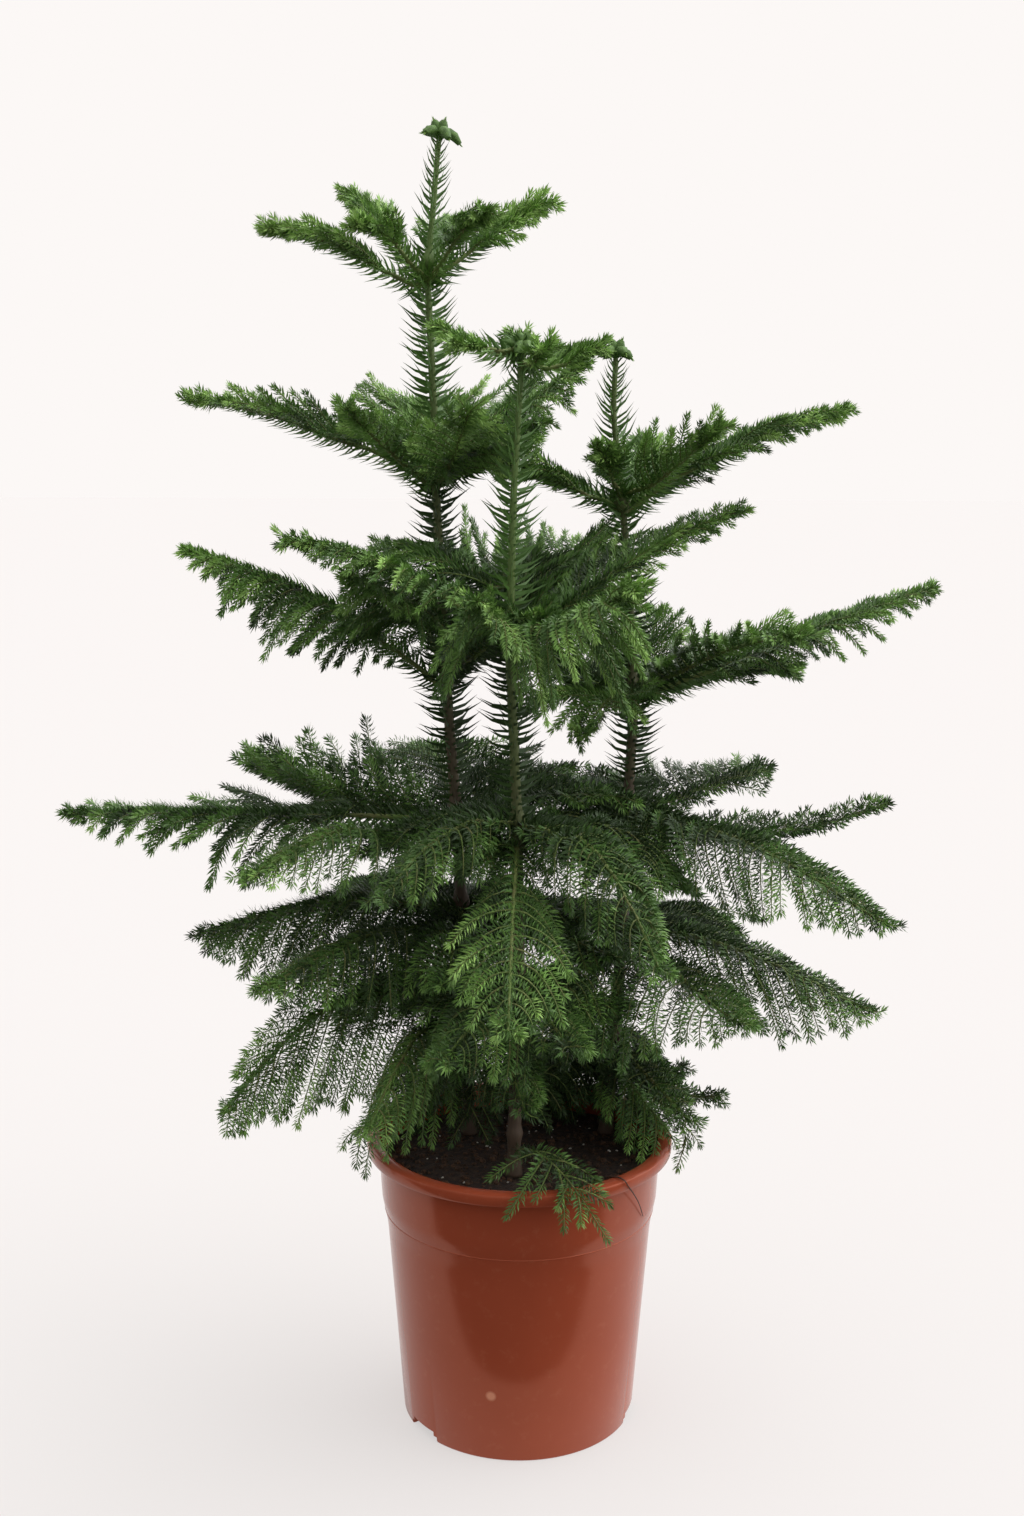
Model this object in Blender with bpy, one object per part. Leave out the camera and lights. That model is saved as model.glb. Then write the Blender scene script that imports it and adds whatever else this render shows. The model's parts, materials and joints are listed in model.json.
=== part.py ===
"""A young Norfolk Island pine grown with three stems in one round nursery pot.

Each stem carries tiers of boughs. A bough's foliage is one flat, pointed, uneven solid, cut to
start at the stem or at the end of the bare limb that carries it. Metres, +Z up; the origin is
the middle of the pot's underside.
"""

import math
import random
from dataclasses import dataclass, field

import bmesh
import bpy
from mathutils import Vector

# Pot, turned about the Z axis
POT_HEIGHT = 0.198
RIM_RADIUS = 0.105
RIM_BAND = 0.0085
FOOT_RADIUS = 0.0803
LOWER_WALL_TOP_RADIUS = 0.0909
UPPER_WALL_RADIUS = 0.0946
UPPER_WALL_TOP_RADIUS = 0.0966
STEP_LOW = 0.1416
STEP_HIGH = 0.1506
WALL = 0.0022
FLOOR = 0.003
POT_SEGMENTS = 48

# Drain slots where the wall meets the floor
DRAIN_HEADINGS = (100, 216, 345)
DRAIN_WIDTH = 0.030
DRAIN_HEIGHT = 0.007
DRAIN_DEPTH = 0.016

# Fit between neighbouring solids
GAP = 0.0003

SOIL_TOP = 0.182

# Stems
STEM_FLARE_RADIUS = 0.0068
STEM_FOOT_RADIUS = 0.0047
STEM_TIP_RADIUS = 0.0017
FLARE_HEIGHT = 0.014
STEM_SIDES = 8
STEM_STEP = 0.05

# Limbs and foliage
LIMB_ROOT_RADIUS = 0.0026
LIMB_END_RADIUS = 0.0017
LIMB_SHARE = 0.26
LIMB_SIDES = 6
SPRAY_STATIONS = 10
SPRAY_SIDES = 8
SPRAY_ROOT_RADIUS = 0.0021
SPRAY_TIP_RADIUS = 0.004
SPRAY_HALF_THICKNESS = 0.012
SPRAY_WIDEST_AT = 0.34
SPRAY_UNEVENNESS = 0.13


@dataclass
class Bough:
    """One bough of a tier: its compass heading in degrees, its plan reach and its tip's rise.

    `arch` lifts its middle, `edge_drop` hangs its side twigs (below zero they point up) and
    `half_width` is half the spread of those twigs; left out, each is the tier's own.
    """

    label: str
    heading: float
    reach: float
    rise: float
    limb: bool = False
    arch: float = None
    edge_drop: float = None
    half_width: float = None


@dataclass
class Tier:
    """A whorl of boughs springing from one height, with the shape they have in common."""

    height: float
    half_width: float
    arch: float
    edge_drop: float
    boughs: list = field(default_factory=list)

    def __post_init__(self):
        for bough in self.boughs:
            for size in ("half_width", "arch", "edge_drop"):
                if getattr(bough, size) is None:
                    setattr(bough, size, getattr(self, size))


@dataclass
class Stem:
    """A leaning stem: the (height, x) points its axis passes, its depth, and its tiers from the top.

    Its end bud stands above the axis by the height given last.
    """

    name: str
    depth: float
    axis: tuple
    tiers: list = field(default_factory=list)
    bud: float = 0.0

    def middle(self, height):
        """The point of the stem's axis at this height."""
        for (low, x_low), (high, x_high) in zip(self.axis, self.axis[1:]):
            if height <= high:
                break
        share = (height - low) / (high - low)
        return Vector((x_low + (x_high - x_low) * share, self.depth, height))

    def radius(self, height):
        """The stem's radius: an even taper, with a flare just above the soil."""
        share = max(0.0, min(1.0, (height - SOIL_TOP) / (self.axis[-1][0] - SOIL_TOP)))
        taper = STEM_FOOT_RADIUS + (STEM_TIP_RADIUS - STEM_FOOT_RADIUS) * share ** 1.3
        flare = max(0.0, min(1.0, 1 - (height - SOIL_TOP) / FLARE_HEIGHT))
        return taper + (STEM_FLARE_RADIUS - STEM_FOOT_RADIUS) * flare ** 2


STEMS = (
    Stem(
        "tall", 0.038,
        ((0.182, -0.036), (0.281, -0.038), (0.353, -0.041), (0.424, -0.045), (0.501, -0.051),
         (0.589, -0.055), (0.637, -0.058), (0.694, -0.059), (0.775, -0.063), (0.870, -0.054)),
        [
            Tier(0.775, 0.024, 0.010, 0.003, [
                Bough("left", 185, 0.110, 0.025, edge_drop=-0.003),
                Bough("front_left", 232, 0.068, 0.015, arch=0.014, edge_drop=-0.007, half_width=0.027),
                Bough("back_left", 140, 0.071, 0.058),
                Bough("right", 10, 0.085, 0.047, arch=0.007),
            ]),
            Tier(0.637, 0.039, 0.004, -0.006, [
                Bough("left", 183, 0.169, 0.056, limb=True, arch=0.015, half_width=0.036),
                Bough("front_left", 232, 0.090, 0.048, arch=-0.001, edge_drop=-0.011),
                Bough("front", 285, 0.100, 0.052, arch=-0.004, edge_drop=0.003, half_width=0.047),
                Bough("right", 8, 0.105, 0.082, edge_drop=0.018, half_width=0.037),
                Bough("back", 95, 0.120, 0.055, arch=0.021, edge_drop=-0.011, half_width=0.056),
            ]),
            Tier(0.501, 0.039, 0.013, 0.026, [
                Bough("left", 187, 0.176, 0.096, limb=True, edge_drop=0.029),
                Bough("back_left", 120, 0.100, 0.095, arch=0.004, half_width=0.032),
                Bough("back_right", 55, 0.190, 0.094, arch=0.016, edge_drop=-0.029, half_width=0.068),
            ]),
            Tier(0.410, 0.062, 0.013, 0.016, [
                Bough("left", 188, 0.269, 0.011, limb=True, arch=0.003, half_width=0.052),
                Bough("back_left", 150, 0.185, 0.023, arch=-0.013, edge_drop=-0.044, half_width=0.054),
                Bough("front_left", 222, 0.176, -0.017, arch=0.017, edge_drop=0.037),
                Bough("back", 100, 0.170, 0.020, edge_drop=0.001, half_width=0.066),
            ]),
            Tier(0.345, 0.046, 0.014, 0.037, [
                Bough("left", 188, 0.185, -0.013, edge_drop=0.058, half_width=0.060),
                Bough("front_left", 221, 0.172, -0.030, arch=0.007),
                Bough("back", 125, 0.170, -0.020, edge_drop=0.028),
            ]),
            Tier(0.275, 0.060, 0.046, 0.050, [
                Bough("left", 203, 0.177, -0.058),
                Bough("front_left", 242, 0.130, -0.055, arch=0.024, edge_drop=0.035, half_width=0.050),
            ]),
        ],
        bud=0.0045,
    ),
    Stem(
        "front", -0.036,
        ((0.182, -0.004), (0.339, -0.001), (0.439, -0.003), (0.536, -0.008), (0.631, -0.006),
         (0.718, -0.001), (0.736, 0.001)),
        [
            Tier(0.718, 0.023, -0.002, 0.003, [
                Bough("back_left", 155, 0.058, 0.022, half_width=0.020),
                Bough("front_left", 215, 0.052, 0.001, arch=0.002, half_width=0.025),
                Bough("right", 350, 0.050, 0.009, arch=-0.006, edge_drop=-0.011),
            ]),
            Tier(0.536, 0.033, 0.016, 0.014, [
                Bough("left", 200, 0.148, 0.070, limb=True, arch=0.019),
                Bough("front_right", 312, 0.114, 0.045, arch=-0.003, edge_drop=0.043),
                Bough("back_right", 24, 0.176, 0.087, edge_drop=0.000),
            ]),
            Tier(0.416, 0.063, 0.023, 0.030, [
                Bough("front", 268, 0.150, -0.090, arch=0.010, edge_drop=0.022),
                Bough("front_left", 226, 0.120, -0.030, half_width=0.032),
                Bough("front_right", 312, 0.130, -0.070, arch=0.043, edge_drop=0.052),
            ]),
            Tier(0.330, 0.040, -0.004, 0.036, [
                Bough("front_left", 240, 0.100, -0.040),
            ]),
            Tier(0.203, 0.020, 0.022, 0.006, [
                Bough("front_right", 300, 0.117, -0.020),
            ]),
        ],
    ),
    Stem(
        "right", 0.040,
        ((0.182, 0.062), (0.267, 0.069), (0.313, 0.070), (0.417, 0.074), (0.494, 0.077),
         (0.538, 0.075), (0.619, 0.069), (0.677, 0.060), (0.737, 0.062)),
        [
            Tier(0.619, 0.036, 0.011, -0.002, [
                Bough("right", 355, 0.147, 0.069, limb=True, arch=0.014, edge_drop=0.002),
                Bough("front_right", 318, 0.080, 0.056, arch=0.002, edge_drop=-0.022, half_width=0.031),
                Bough("left", 188, 0.086, 0.026, edge_drop=-0.034),
                Bough("back", 80, 0.120, 0.050, arch=0.000, half_width=0.033),
            ]),
            Tier(0.494, 0.054, 0.012, -0.005, [
                Bough("right", 352, 0.202, 0.082, limb=True, arch=0.001, edge_drop=0.013),
                Bough("front_right", 316, 0.143, 0.050, half_width=0.045),
                Bough("back_right", 38, 0.160, 0.005, edge_drop=-0.007),
                Bough("front_left", 245, 0.090, -0.020, arch=0.015, edge_drop=-0.008, half_width=0.067),
                Bough("back", 78, 0.125, 0.055, arch=-0.008, edge_drop=-0.001),
            ]),
            Tier(0.417, 0.058, 0.000, 0.000, [
                Bough("right", 358, 0.181, 0.009, arch=-0.018, edge_drop=-0.004, half_width=0.030),
                Bough("front_right", 322, 0.202, -0.057, arch=0.014, edge_drop=0.027),
                Bough("back_right", 42, 0.146, 0.018),
            ]),
            Tier(0.335, 0.066, 0.011, 0.039, [
                Bough("right", 342, 0.179, -0.049, edge_drop=0.048, half_width=0.059),
                Bough("front", 298, 0.149, -0.035, arch=-0.004),
                Bough("back", 65, 0.150, -0.030, edge_drop=0.010),
            ]),
            Tier(0.250, 0.020, 0.002, 0.001, [
                Bough("right", 350, 0.078, -0.034, arch=-0.014),
                Bough("front_right", 300, 0.095, -0.035),
            ]),
        ],
    ),
)


def material(name, colour, roughness):
    """A Principled material of one colour."""
    made = bpy.data.materials.new(name)
    made.use_nodes = True
    shader = made.node_tree.nodes["Principled BSDF"]
    shader.inputs["Base Color"].default_value = (*colour, 1)
    shader.inputs["Roughness"].default_value = roughness
    shader.inputs["Metallic"].default_value = 0
    return made


def place(name, mesh, finish):
    """Links a mesh into the scene as the named sub-part, smooth but for its sharp edges."""
    obj = bpy.data.objects.new(name, mesh)
    bpy.context.scene.collection.objects.link(obj)
    mesh.materials.append(finish)
    mesh.shade_smooth()
    mesh.set_sharp_from_angle(angle=math.radians(40))
    return obj


def lofted(name, rings, finish):
    """A closed solid skinned over rings of points, each ring running the same way round."""
    shape = bmesh.new()
    loops = [[shape.verts.new(p) for p in ring] for ring in rings]
    count = len(loops[0])
    for near, far in zip(loops, loops[1:]):
        for i in range(count):
            j = (i + 1) % count
            shape.faces.new((near[i], near[j], far[j], far[i]))
    shape.faces.new(reversed(loops[0]))
    shape.faces.new(loops[-1])
    bmesh.ops.recalc_face_normals(shape, faces=shape.faces)
    mesh = bpy.data.meshes.new(name)
    shape.to_mesh(mesh)
    shape.free()
    return place(name, mesh, finish)


def turned(name, profile, finish):
    """A closed solid turned about Z from a closed (radius, height) profile, as on a lathe."""
    shape = bmesh.new()
    verts = [shape.verts.new((radius, 0, height)) for radius, height in profile]
    edges = [shape.edges.new((a, b)) for a, b in zip(verts, verts[1:])]
    if profile[0][0] > 0:
        edges.append(shape.edges.new((verts[-1], verts[0])))
    bmesh.ops.spin(shape, geom=verts + edges, cent=(0, 0, 0), axis=(0, 0, 1),
                   angle=2 * math.pi, steps=POT_SEGMENTS, use_merge=True)
    bmesh.ops.remove_doubles(shape, verts=shape.verts, dist=1e-6)
    bmesh.ops.recalc_face_normals(shape, faces=shape.faces)
    mesh = bpy.data.meshes.new(name)
    shape.to_mesh(mesh)
    shape.free()
    return place(name, mesh, finish)


def drain_cutter(heading):
    """A box through the corner of wall and floor, where water leaves the pot."""
    bpy.ops.mesh.primitive_cube_add(size=1)
    cutter = bpy.context.object
    cutter.name = f"drain_cutter_{heading}"
    turn = math.radians(heading)
    middle = FOOT_RADIUS + 0.004 - DRAIN_DEPTH / 2
    cutter.location = (middle * math.cos(turn), middle * math.sin(turn), 0)
    cutter.rotation_euler = (0, 0, turn)
    cutter.scale = (DRAIN_DEPTH, DRAIN_WIDTH, 2 * DRAIN_HEIGHT)
    bpy.ops.object.transform_apply(location=False, rotation=False, scale=True)
    cutter.hide_render = True
    cutter.display_type = "WIRE"
    return cutter


def make_pot(finish):
    """The pot: a thin drafted wall with a step under a thicker upper band, and a rolled rim."""
    under_rim = POT_HEIGHT - RIM_BAND
    outside = [
        (0.0, 0.0),
        (FOOT_RADIUS - 0.0012, 0.0),
        (FOOT_RADIUS, 0.0014),
        (LOWER_WALL_TOP_RADIUS, STEP_LOW),
        (UPPER_WALL_RADIUS, STEP_HIGH),
        (UPPER_WALL_TOP_RADIUS, under_rim),
        (RIM_RADIUS - 0.0018, under_rim),
        (RIM_RADIUS - 0.0004, under_rim + 0.0015),
        (RIM_RADIUS, POT_HEIGHT - 0.0016),
        (RIM_RADIUS - 0.0014, POT_HEIGHT),
    ]
    inside = [
        (UPPER_WALL_TOP_RADIUS, POT_HEIGHT),
        (UPPER_WALL_TOP_RADIUS - WALL, POT_HEIGHT - 0.0022),
        (UPPER_WALL_RADIUS - WALL, STEP_HIGH),
        (LOWER_WALL_TOP_RADIUS - WALL, STEP_LOW),
        (FOOT_RADIUS - WALL, FLOOR),
        (0.0, FLOOR),
    ]
    pot = turned("pot", outside + inside, finish)
    for heading in DRAIN_HEADINGS:
        cut = pot.modifiers.new(f"drain_{heading}", "BOOLEAN")
        cut.operation = "DIFFERENCE"
        cut.object = drain_cutter(heading)
    return pot


def inner_radius(height):
    """The radius of the pot's inner wall at this height."""
    marks = ((FLOOR, FOOT_RADIUS), (STEP_LOW, LOWER_WALL_TOP_RADIUS),
             (STEP_HIGH, UPPER_WALL_RADIUS), (POT_HEIGHT, UPPER_WALL_TOP_RADIUS))
    for (low, r_low), (high, r_high) in zip(marks, marks[1:]):
        if height <= high:
            break
    return r_low + (r_high - r_low) * (height - low) / (high - low) - WALL


def make_soil(finish):
    """The potting soil, which fills the pot to a level top just under its rim."""
    slot_top = DRAIN_HEIGHT + GAP
    side = [(inner_radius(z) - GAP, z) for z in (slot_top, STEP_LOW, STEP_HIGH, SOIL_TOP)]
    profile = [(0.0, FLOOR + GAP), (FOOT_RADIUS - DRAIN_DEPTH, FLOOR + GAP), *side, (0.0, SOIL_TOP)]
    return turned("soil", profile, finish)


def make_stem(stem, finish):
    """A stem of level rings, from a flat cut on the soil to its tip."""
    foot, tip = SOIL_TOP + GAP, stem.axis[-1][0] + stem.bud
    count = round((tip - foot) / STEM_STEP)
    flare_levels = [foot, foot + FLARE_HEIGHT / 3, foot + FLARE_HEIGHT]
    levels = flare_levels + [foot + (tip - foot) * i / count for i in range(1, count + 1)]
    rings = []
    for height in levels:
        middle, radius = stem.middle(height), stem.radius(height)
        turns = [2 * math.pi * i / STEM_SIDES for i in range(STEM_SIDES)]
        rings.append([middle + radius * Vector((math.cos(a), math.sin(a), 0)) for a in turns])
    return lofted(f"stem_{stem.name}", rings, finish)


class BoughAxis:
    """The line a bough follows: out along its heading, rising and arching in a vertical plane."""

    def __init__(self, stem, tier, bough, lift):
        self.root = stem.middle(tier.height) + Vector((0, 0, lift))
        turn = math.radians(bough.heading)
        self.out = Vector((math.cos(turn), math.sin(turn), 0))
        self.across = Vector((-math.sin(turn), math.cos(turn), 0))
        self.stem, self.bough = stem, bough
        self.start = (stem.radius(tier.height) + 2 * GAP) / bough.reach
        turns = [(other.heading - bough.heading) % 360 for other in tier.boughs if other is not bough]
        nearest = (min(turns, default=360), 360 - max(turns, default=0))
        self.room = [math.tan(math.radians(gap / 2)) if gap < 176 else math.inf for gap in nearest]

    def at(self, share):
        """The point at this share of the reach."""
        height = self.bough.rise * share + self.bough.arch * 4 * share * (1 - share)
        return self.root + self.out * self.bough.reach * share + Vector((0, 0, height))

    def up(self, share):
        """The direction square to the axis and to the bough's width."""
        slope = self.bough.rise + self.bough.arch * 4 * (1 - 2 * share)
        along = (self.out * self.bough.reach + Vector((0, 0, slope))).normalized()
        return along.cross(self.across)

    def beside(self, share, aside, above):
        """A point off the axis, kept off the stem and within half the angle to each neighbour."""
        point = self.at(share) + self.up(share) * above
        inside = self.stem.radius(point.z) + 2 * GAP - (point - self.stem.middle(point.z)).dot(self.out)
        point += self.out * max(0.0, inside)
        away = (point - self.root).dot(self.out)
        limit = away * self.room[aside < 0] - GAP
        return point + self.across * max(-limit, min(limit, aside))


def limb_rings(axis, end):
    """Rings of a bare tapering limb, from the stem to where its foliage begins."""
    rings = []
    for i in range(4):
        share = axis.start + (end - axis.start) * i / 3
        radius = LIMB_ROOT_RADIUS + (LIMB_END_RADIUS - LIMB_ROOT_RADIUS) * i / 3
        turns = [2 * math.pi * k / LIMB_SIDES for k in range(LIMB_SIDES)]
        rings.append([axis.beside(share, radius * math.cos(a), radius * math.sin(a)) for a in turns])
    return rings


def breadth(share):
    """A spray's width along its length, as a share of its widest: a pointed leaf's outline."""
    if share < SPRAY_WIDEST_AT:
        return math.sin(0.5 * math.pi * share / SPRAY_WIDEST_AT) ** 0.85
    return math.cos(0.5 * math.pi * (share - SPRAY_WIDEST_AT) / (1 - SPRAY_WIDEST_AT)) ** 0.8


def spray_rings(axis, start, dice):
    """Rings of one bough's foliage: a thin lens, wide near the stem, ragged along both edges."""
    rings = []
    for i in range(SPRAY_STATIONS):
        part = i / (SPRAY_STATIONS - 1)
        share = start + (1 - start) * part
        wide = max(0.0, breadth(share))
        ragged = [1 + SPRAY_UNEVENNESS * (dice.random() - 0.5 + 0.5 * (-1) ** i) for _ in range(2)]
        end_radius = SPRAY_ROOT_RADIUS + (SPRAY_TIP_RADIUS - SPRAY_ROOT_RADIUS) * part
        rise = end_radius + (SPRAY_HALF_THICKNESS - end_radius) * wide ** 0.6
        ring = []
        for k in range(SPRAY_SIDES):
            turn = 2 * math.pi * k / SPRAY_SIDES
            side = math.cos(turn)
            half = end_radius + (axis.bough.half_width - end_radius) * wide * ragged[side < 0]
            sag = axis.bough.edge_drop * wide * side * side
            ring.append(axis.beside(share, half * side, rise * math.sin(turn) - sag))
        rings.append(ring)
    return rings


def make_tier(stem, number, tier, bark, leaf, dice):
    """All boughs of one tier, every other one set a little higher so that their roots clear."""
    for order, bough in enumerate(tier.boughs):
        name = f"{stem.name}_{number}_{bough.label}"
        axis = BoughAxis(stem, tier, bough, lift=0.004 * (order % 2))
        start = axis.start
        if bough.limb:
            start = LIMB_SHARE
            lofted(f"bough_{name}", limb_rings(axis, start), bark)
            start += GAP / bough.reach
        lofted(f"spray_{name}", spray_rings(axis, start, dice), leaf)


def main():
    """Clears the scene and builds the pot, the soil, the stems and their tiers."""
    for old in list(bpy.data.objects):
        bpy.data.objects.remove(old)
    terracotta = material("terracotta_plastic", (0.40, 0.13, 0.075), 0.42)
    peat = material("peat", (0.028, 0.016, 0.011), 0.95)
    bark = material("bark", (0.16, 0.10, 0.05), 0.85)
    leaf = material("needles", (0.055, 0.13, 0.045), 0.6)
    make_pot(terracotta)
    make_soil(peat)
    dice = random.Random(7)
    for stem in STEMS:
        make_stem(stem, bark)
        for number, tier in enumerate(stem.tiers, 1):
            make_tier(stem, number, tier, bark, leaf, dice)


main()
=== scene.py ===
"""The looks of a young Norfolk Island pine, grown with three stems in one round nursery pot.

Every bough but the sprig over the pot's front is grown from the solid that stands for it: the solid's
middle line becomes the bough's wood and its edges say how far each side twig reaches. All lengths are in
metres.
"""

import json
import logging
import math
import random
from dataclasses import dataclass, field, replace
from enum import Enum
from typing import Iterable, Optional, Sequence

import bmesh
import bpy
import numpy as np
from bpy.types import GeometryNodeTree, Material, Mesh, Node, NodeOutputs, NodeSocket, NodeTree, Object
from mathutils import Matrix, Vector, noise

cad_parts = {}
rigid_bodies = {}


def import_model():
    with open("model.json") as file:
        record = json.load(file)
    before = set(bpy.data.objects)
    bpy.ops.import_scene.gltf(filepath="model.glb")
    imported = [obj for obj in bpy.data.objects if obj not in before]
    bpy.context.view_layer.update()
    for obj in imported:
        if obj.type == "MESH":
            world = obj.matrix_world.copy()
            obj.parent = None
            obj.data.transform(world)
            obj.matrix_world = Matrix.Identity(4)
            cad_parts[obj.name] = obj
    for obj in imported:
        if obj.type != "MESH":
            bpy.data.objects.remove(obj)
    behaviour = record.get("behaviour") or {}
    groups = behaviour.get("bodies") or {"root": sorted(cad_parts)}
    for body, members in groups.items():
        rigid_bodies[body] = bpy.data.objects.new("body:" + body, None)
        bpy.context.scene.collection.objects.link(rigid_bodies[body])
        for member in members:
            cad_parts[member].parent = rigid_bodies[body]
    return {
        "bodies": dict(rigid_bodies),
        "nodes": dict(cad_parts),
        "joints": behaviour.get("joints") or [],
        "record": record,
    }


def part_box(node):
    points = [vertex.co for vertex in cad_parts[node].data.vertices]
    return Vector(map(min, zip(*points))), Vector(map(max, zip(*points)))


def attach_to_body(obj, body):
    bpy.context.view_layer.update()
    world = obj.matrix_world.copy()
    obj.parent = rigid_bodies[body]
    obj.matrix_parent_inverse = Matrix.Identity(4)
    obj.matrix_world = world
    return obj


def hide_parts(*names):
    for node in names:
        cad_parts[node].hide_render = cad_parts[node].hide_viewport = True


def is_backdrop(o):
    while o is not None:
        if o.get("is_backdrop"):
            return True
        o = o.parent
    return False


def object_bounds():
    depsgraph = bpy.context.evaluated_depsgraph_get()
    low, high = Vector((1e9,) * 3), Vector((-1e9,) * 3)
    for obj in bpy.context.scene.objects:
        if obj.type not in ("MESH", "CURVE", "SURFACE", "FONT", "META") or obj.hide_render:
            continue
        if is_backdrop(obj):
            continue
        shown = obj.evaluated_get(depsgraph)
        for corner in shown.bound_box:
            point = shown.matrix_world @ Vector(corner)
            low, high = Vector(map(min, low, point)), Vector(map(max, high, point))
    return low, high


LOG = logging.getLogger("potted_pine")

MM = 0.001
GOLDEN_ANGLE = math.radians(137.508)
UP = Vector((0.0, 0.0, 1.0))


# --------------------------------------------------------------------------------------
# Small helpers
# --------------------------------------------------------------------------------------


def linear(colour: str) -> tuple[float, float, float, float]:
    """Turns an sRGB hex colour into the linear colour that shaders work in.

    Args:
        colour: Six hex digits, such as "8a4a36".

    Returns:
        Red, green, blue and an alpha of one.
    """
    channels = [int(colour[i : i + 2], 16) / 255 for i in (0, 2, 4)]
    curved = [c / 12.92 if c <= 0.04045 else ((c + 0.055) / 1.055) ** 2.4 for c in channels]
    return (*curved, 1.0)


def set_node(tree: NodeTree, node: Node, values: dict) -> None:
    """Sets and links a node that is already in a tree.

    Args:
        tree: The tree.
        node: The node.
        values: Properties by name and inputs by name or number; another node's output is linked.
    """
    for key, value in values.items():
        if isinstance(value, NodeSocket):
            tree.links.new(value, node.inputs[key])
        elif isinstance(key, str) and hasattr(node, key):
            setattr(node, key, value)
        else:
            node.inputs[key].default_value = value


def add_node(tree: NodeTree, kind: str, values: Optional[dict] = None) -> Node:
    """Adds a node, with its settings and its links, to a shader or geometry tree.

    Args:
        tree: The tree that gets the node.
        kind: Blender's name for the node's type.
        values: What set_node gives it, a property before the inputs that depend on it.

    Returns:
        The new node.
    """
    node = tree.nodes.new(kind)
    set_node(tree, node, values or {})
    return node


def new_material(name: str) -> Material:
    """Makes a node material that holds nothing but its Principled shader and its output."""
    material = bpy.data.materials.new(name)
    material.use_nodes = True
    return material


def dress(material: Material, looks: dict) -> Material:
    """Sets and links the inputs of a material's Principled shader, and hands the material back."""
    tree = material.node_tree
    set_node(tree, tree.nodes["Principled BSDF"], looks)
    return material


def link_mesh(name: str, mesh: Mesh, material: Optional[Material] = None) -> Object:
    """Puts a mesh into the scene as an object at the origin.

    Args:
        name: The object's name.
        mesh: Its mesh, already in place.
        material: Its material, where the mesh has none yet.

    Returns:
        The object.
    """
    mesh.name = name
    obj = bpy.data.objects.new(name, mesh)
    bpy.context.scene.collection.objects.link(obj)
    if material is not None:
        mesh.materials.append(material)
    return obj


def mesh_of(name: str, shape: bmesh.types.BMesh, smooth: bool = True) -> Mesh:
    """Turns a bmesh into a mesh and frees it.

    Args:
        name: The mesh's name.
        shape: The bmesh.
        smooth: Whether its faces are shaded smooth.

    Returns:
        The mesh.
    """
    mesh = bpy.data.meshes.new(name)
    shape.to_mesh(mesh)
    shape.free()
    if smooth:
        mesh.shade_smooth()
    return mesh


def ring_skin(rings: Sequence[Sequence[Vector]], name: str) -> Mesh:
    """Skins a closed, outward-facing tube over rings.

    Args:
        rings: The rings, from one end to the other, all with the same number of points.
        name: The mesh's name.

    Returns:
        The mesh.
    """
    shape = bmesh.new()
    loops = [[shape.verts.new(point) for point in ring] for ring in rings]
    count = len(loops[0])
    for near, far in zip(loops, loops[1:]):
        for i in range(count):
            j = (i + 1) % count
            shape.faces.new((near[i], near[j], far[j], far[i]))
    shape.faces.new(reversed(loops[0]))
    shape.faces.new(loops[-1])
    bmesh.ops.recalc_face_normals(shape, faces=shape.faces)
    return mesh_of(name, shape)


def lathe(profile: Sequence[tuple[float, float]], steps: int, name: str) -> Mesh:
    """Turns a profile about the Z axis into a closed, outward-facing mesh.

    Args:
        profile: The outline's (radius, height) points; its first and last lie on the axis.
        steps: How many segments make the full turn.
        name: The mesh's name.

    Returns:
        The mesh.
    """
    shape = bmesh.new()
    verts = [shape.verts.new((radius, 0.0, height)) for radius, height in profile]
    edges = [shape.edges.new(pair) for pair in zip(verts, verts[1:])]
    outline = verts + edges
    bmesh.ops.spin(
        shape, geom=outline, cent=(0, 0, 0), axis=(0, 0, 1), angle=2 * math.pi, steps=steps, use_merge=True
    )
    bmesh.ops.remove_doubles(shape, verts=shape.verts, dist=1e-6)
    bmesh.ops.recalc_face_normals(shape, faces=shape.faces)
    return mesh_of(name, shape)


def blend_value(low: float, high: float, share: float) -> float:
    """The value at this share of the way from low to high."""
    return low + (high - low) * share


def heading(turn: float) -> Vector:
    """The level unit vector that points this way, in radians from the X axis."""
    return Vector((math.cos(turn), math.sin(turn), 0.0))


def place_on(line: Sequence[Vector], share: float) -> Vector:
    """The point at this share of a line, by the number of its points."""
    place = max(0.0, min(1.0, share)) * (len(line) - 1)
    first = min(int(place), len(line) - 2)
    return line[first].lerp(line[first + 1], place - first)


# --------------------------------------------------------------------------------------
# Finishes
# --------------------------------------------------------------------------------------


def mottle(
    tree: NodeTree,
    grain: dict,
    tones: Sequence[tuple[float, tuple[float, float, float, float]]],
) -> tuple[NodeSocket, NodeSocket]:
    """Makes a colour that drifts between two tones, in patches laid on the piece's own coordinates.

    Args:
        tree: The material's tree.
        grain: The settings of the noise that the patches follow.
        tones: Two stops, each a value of the noise and the linear colour there.

    Returns:
        The colour, and the noise.
    """
    place = add_node(tree, "ShaderNodeTexCoord").outputs["Object"]
    cloud = add_node(tree, "ShaderNodeTexNoise", {"Vector": place, **grain}).outputs["Fac"]
    ramp = add_node(tree, "ShaderNodeValToRGB", {"Fac": cloud})
    for stop, (value, colour) in zip(ramp.color_ramp.elements, tones):
        stop.position = value
        stop.color = colour
    return ramp.outputs["Color"], cloud


class Tint(Enum):
    """The tints of foliage, each with its plain base colour in sRGB hex.

    They stand partly for age, fresher towards the tips, and partly for painted light: SHADED is painted
    shade for low and inner sprays, and high boughs and those that point to the front get lighter tints.
    """

    SHADED = "2d431c"
    MATURE = "49692e"
    SUMMER = "688b41"
    FRESH = "8bae5a"


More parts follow.
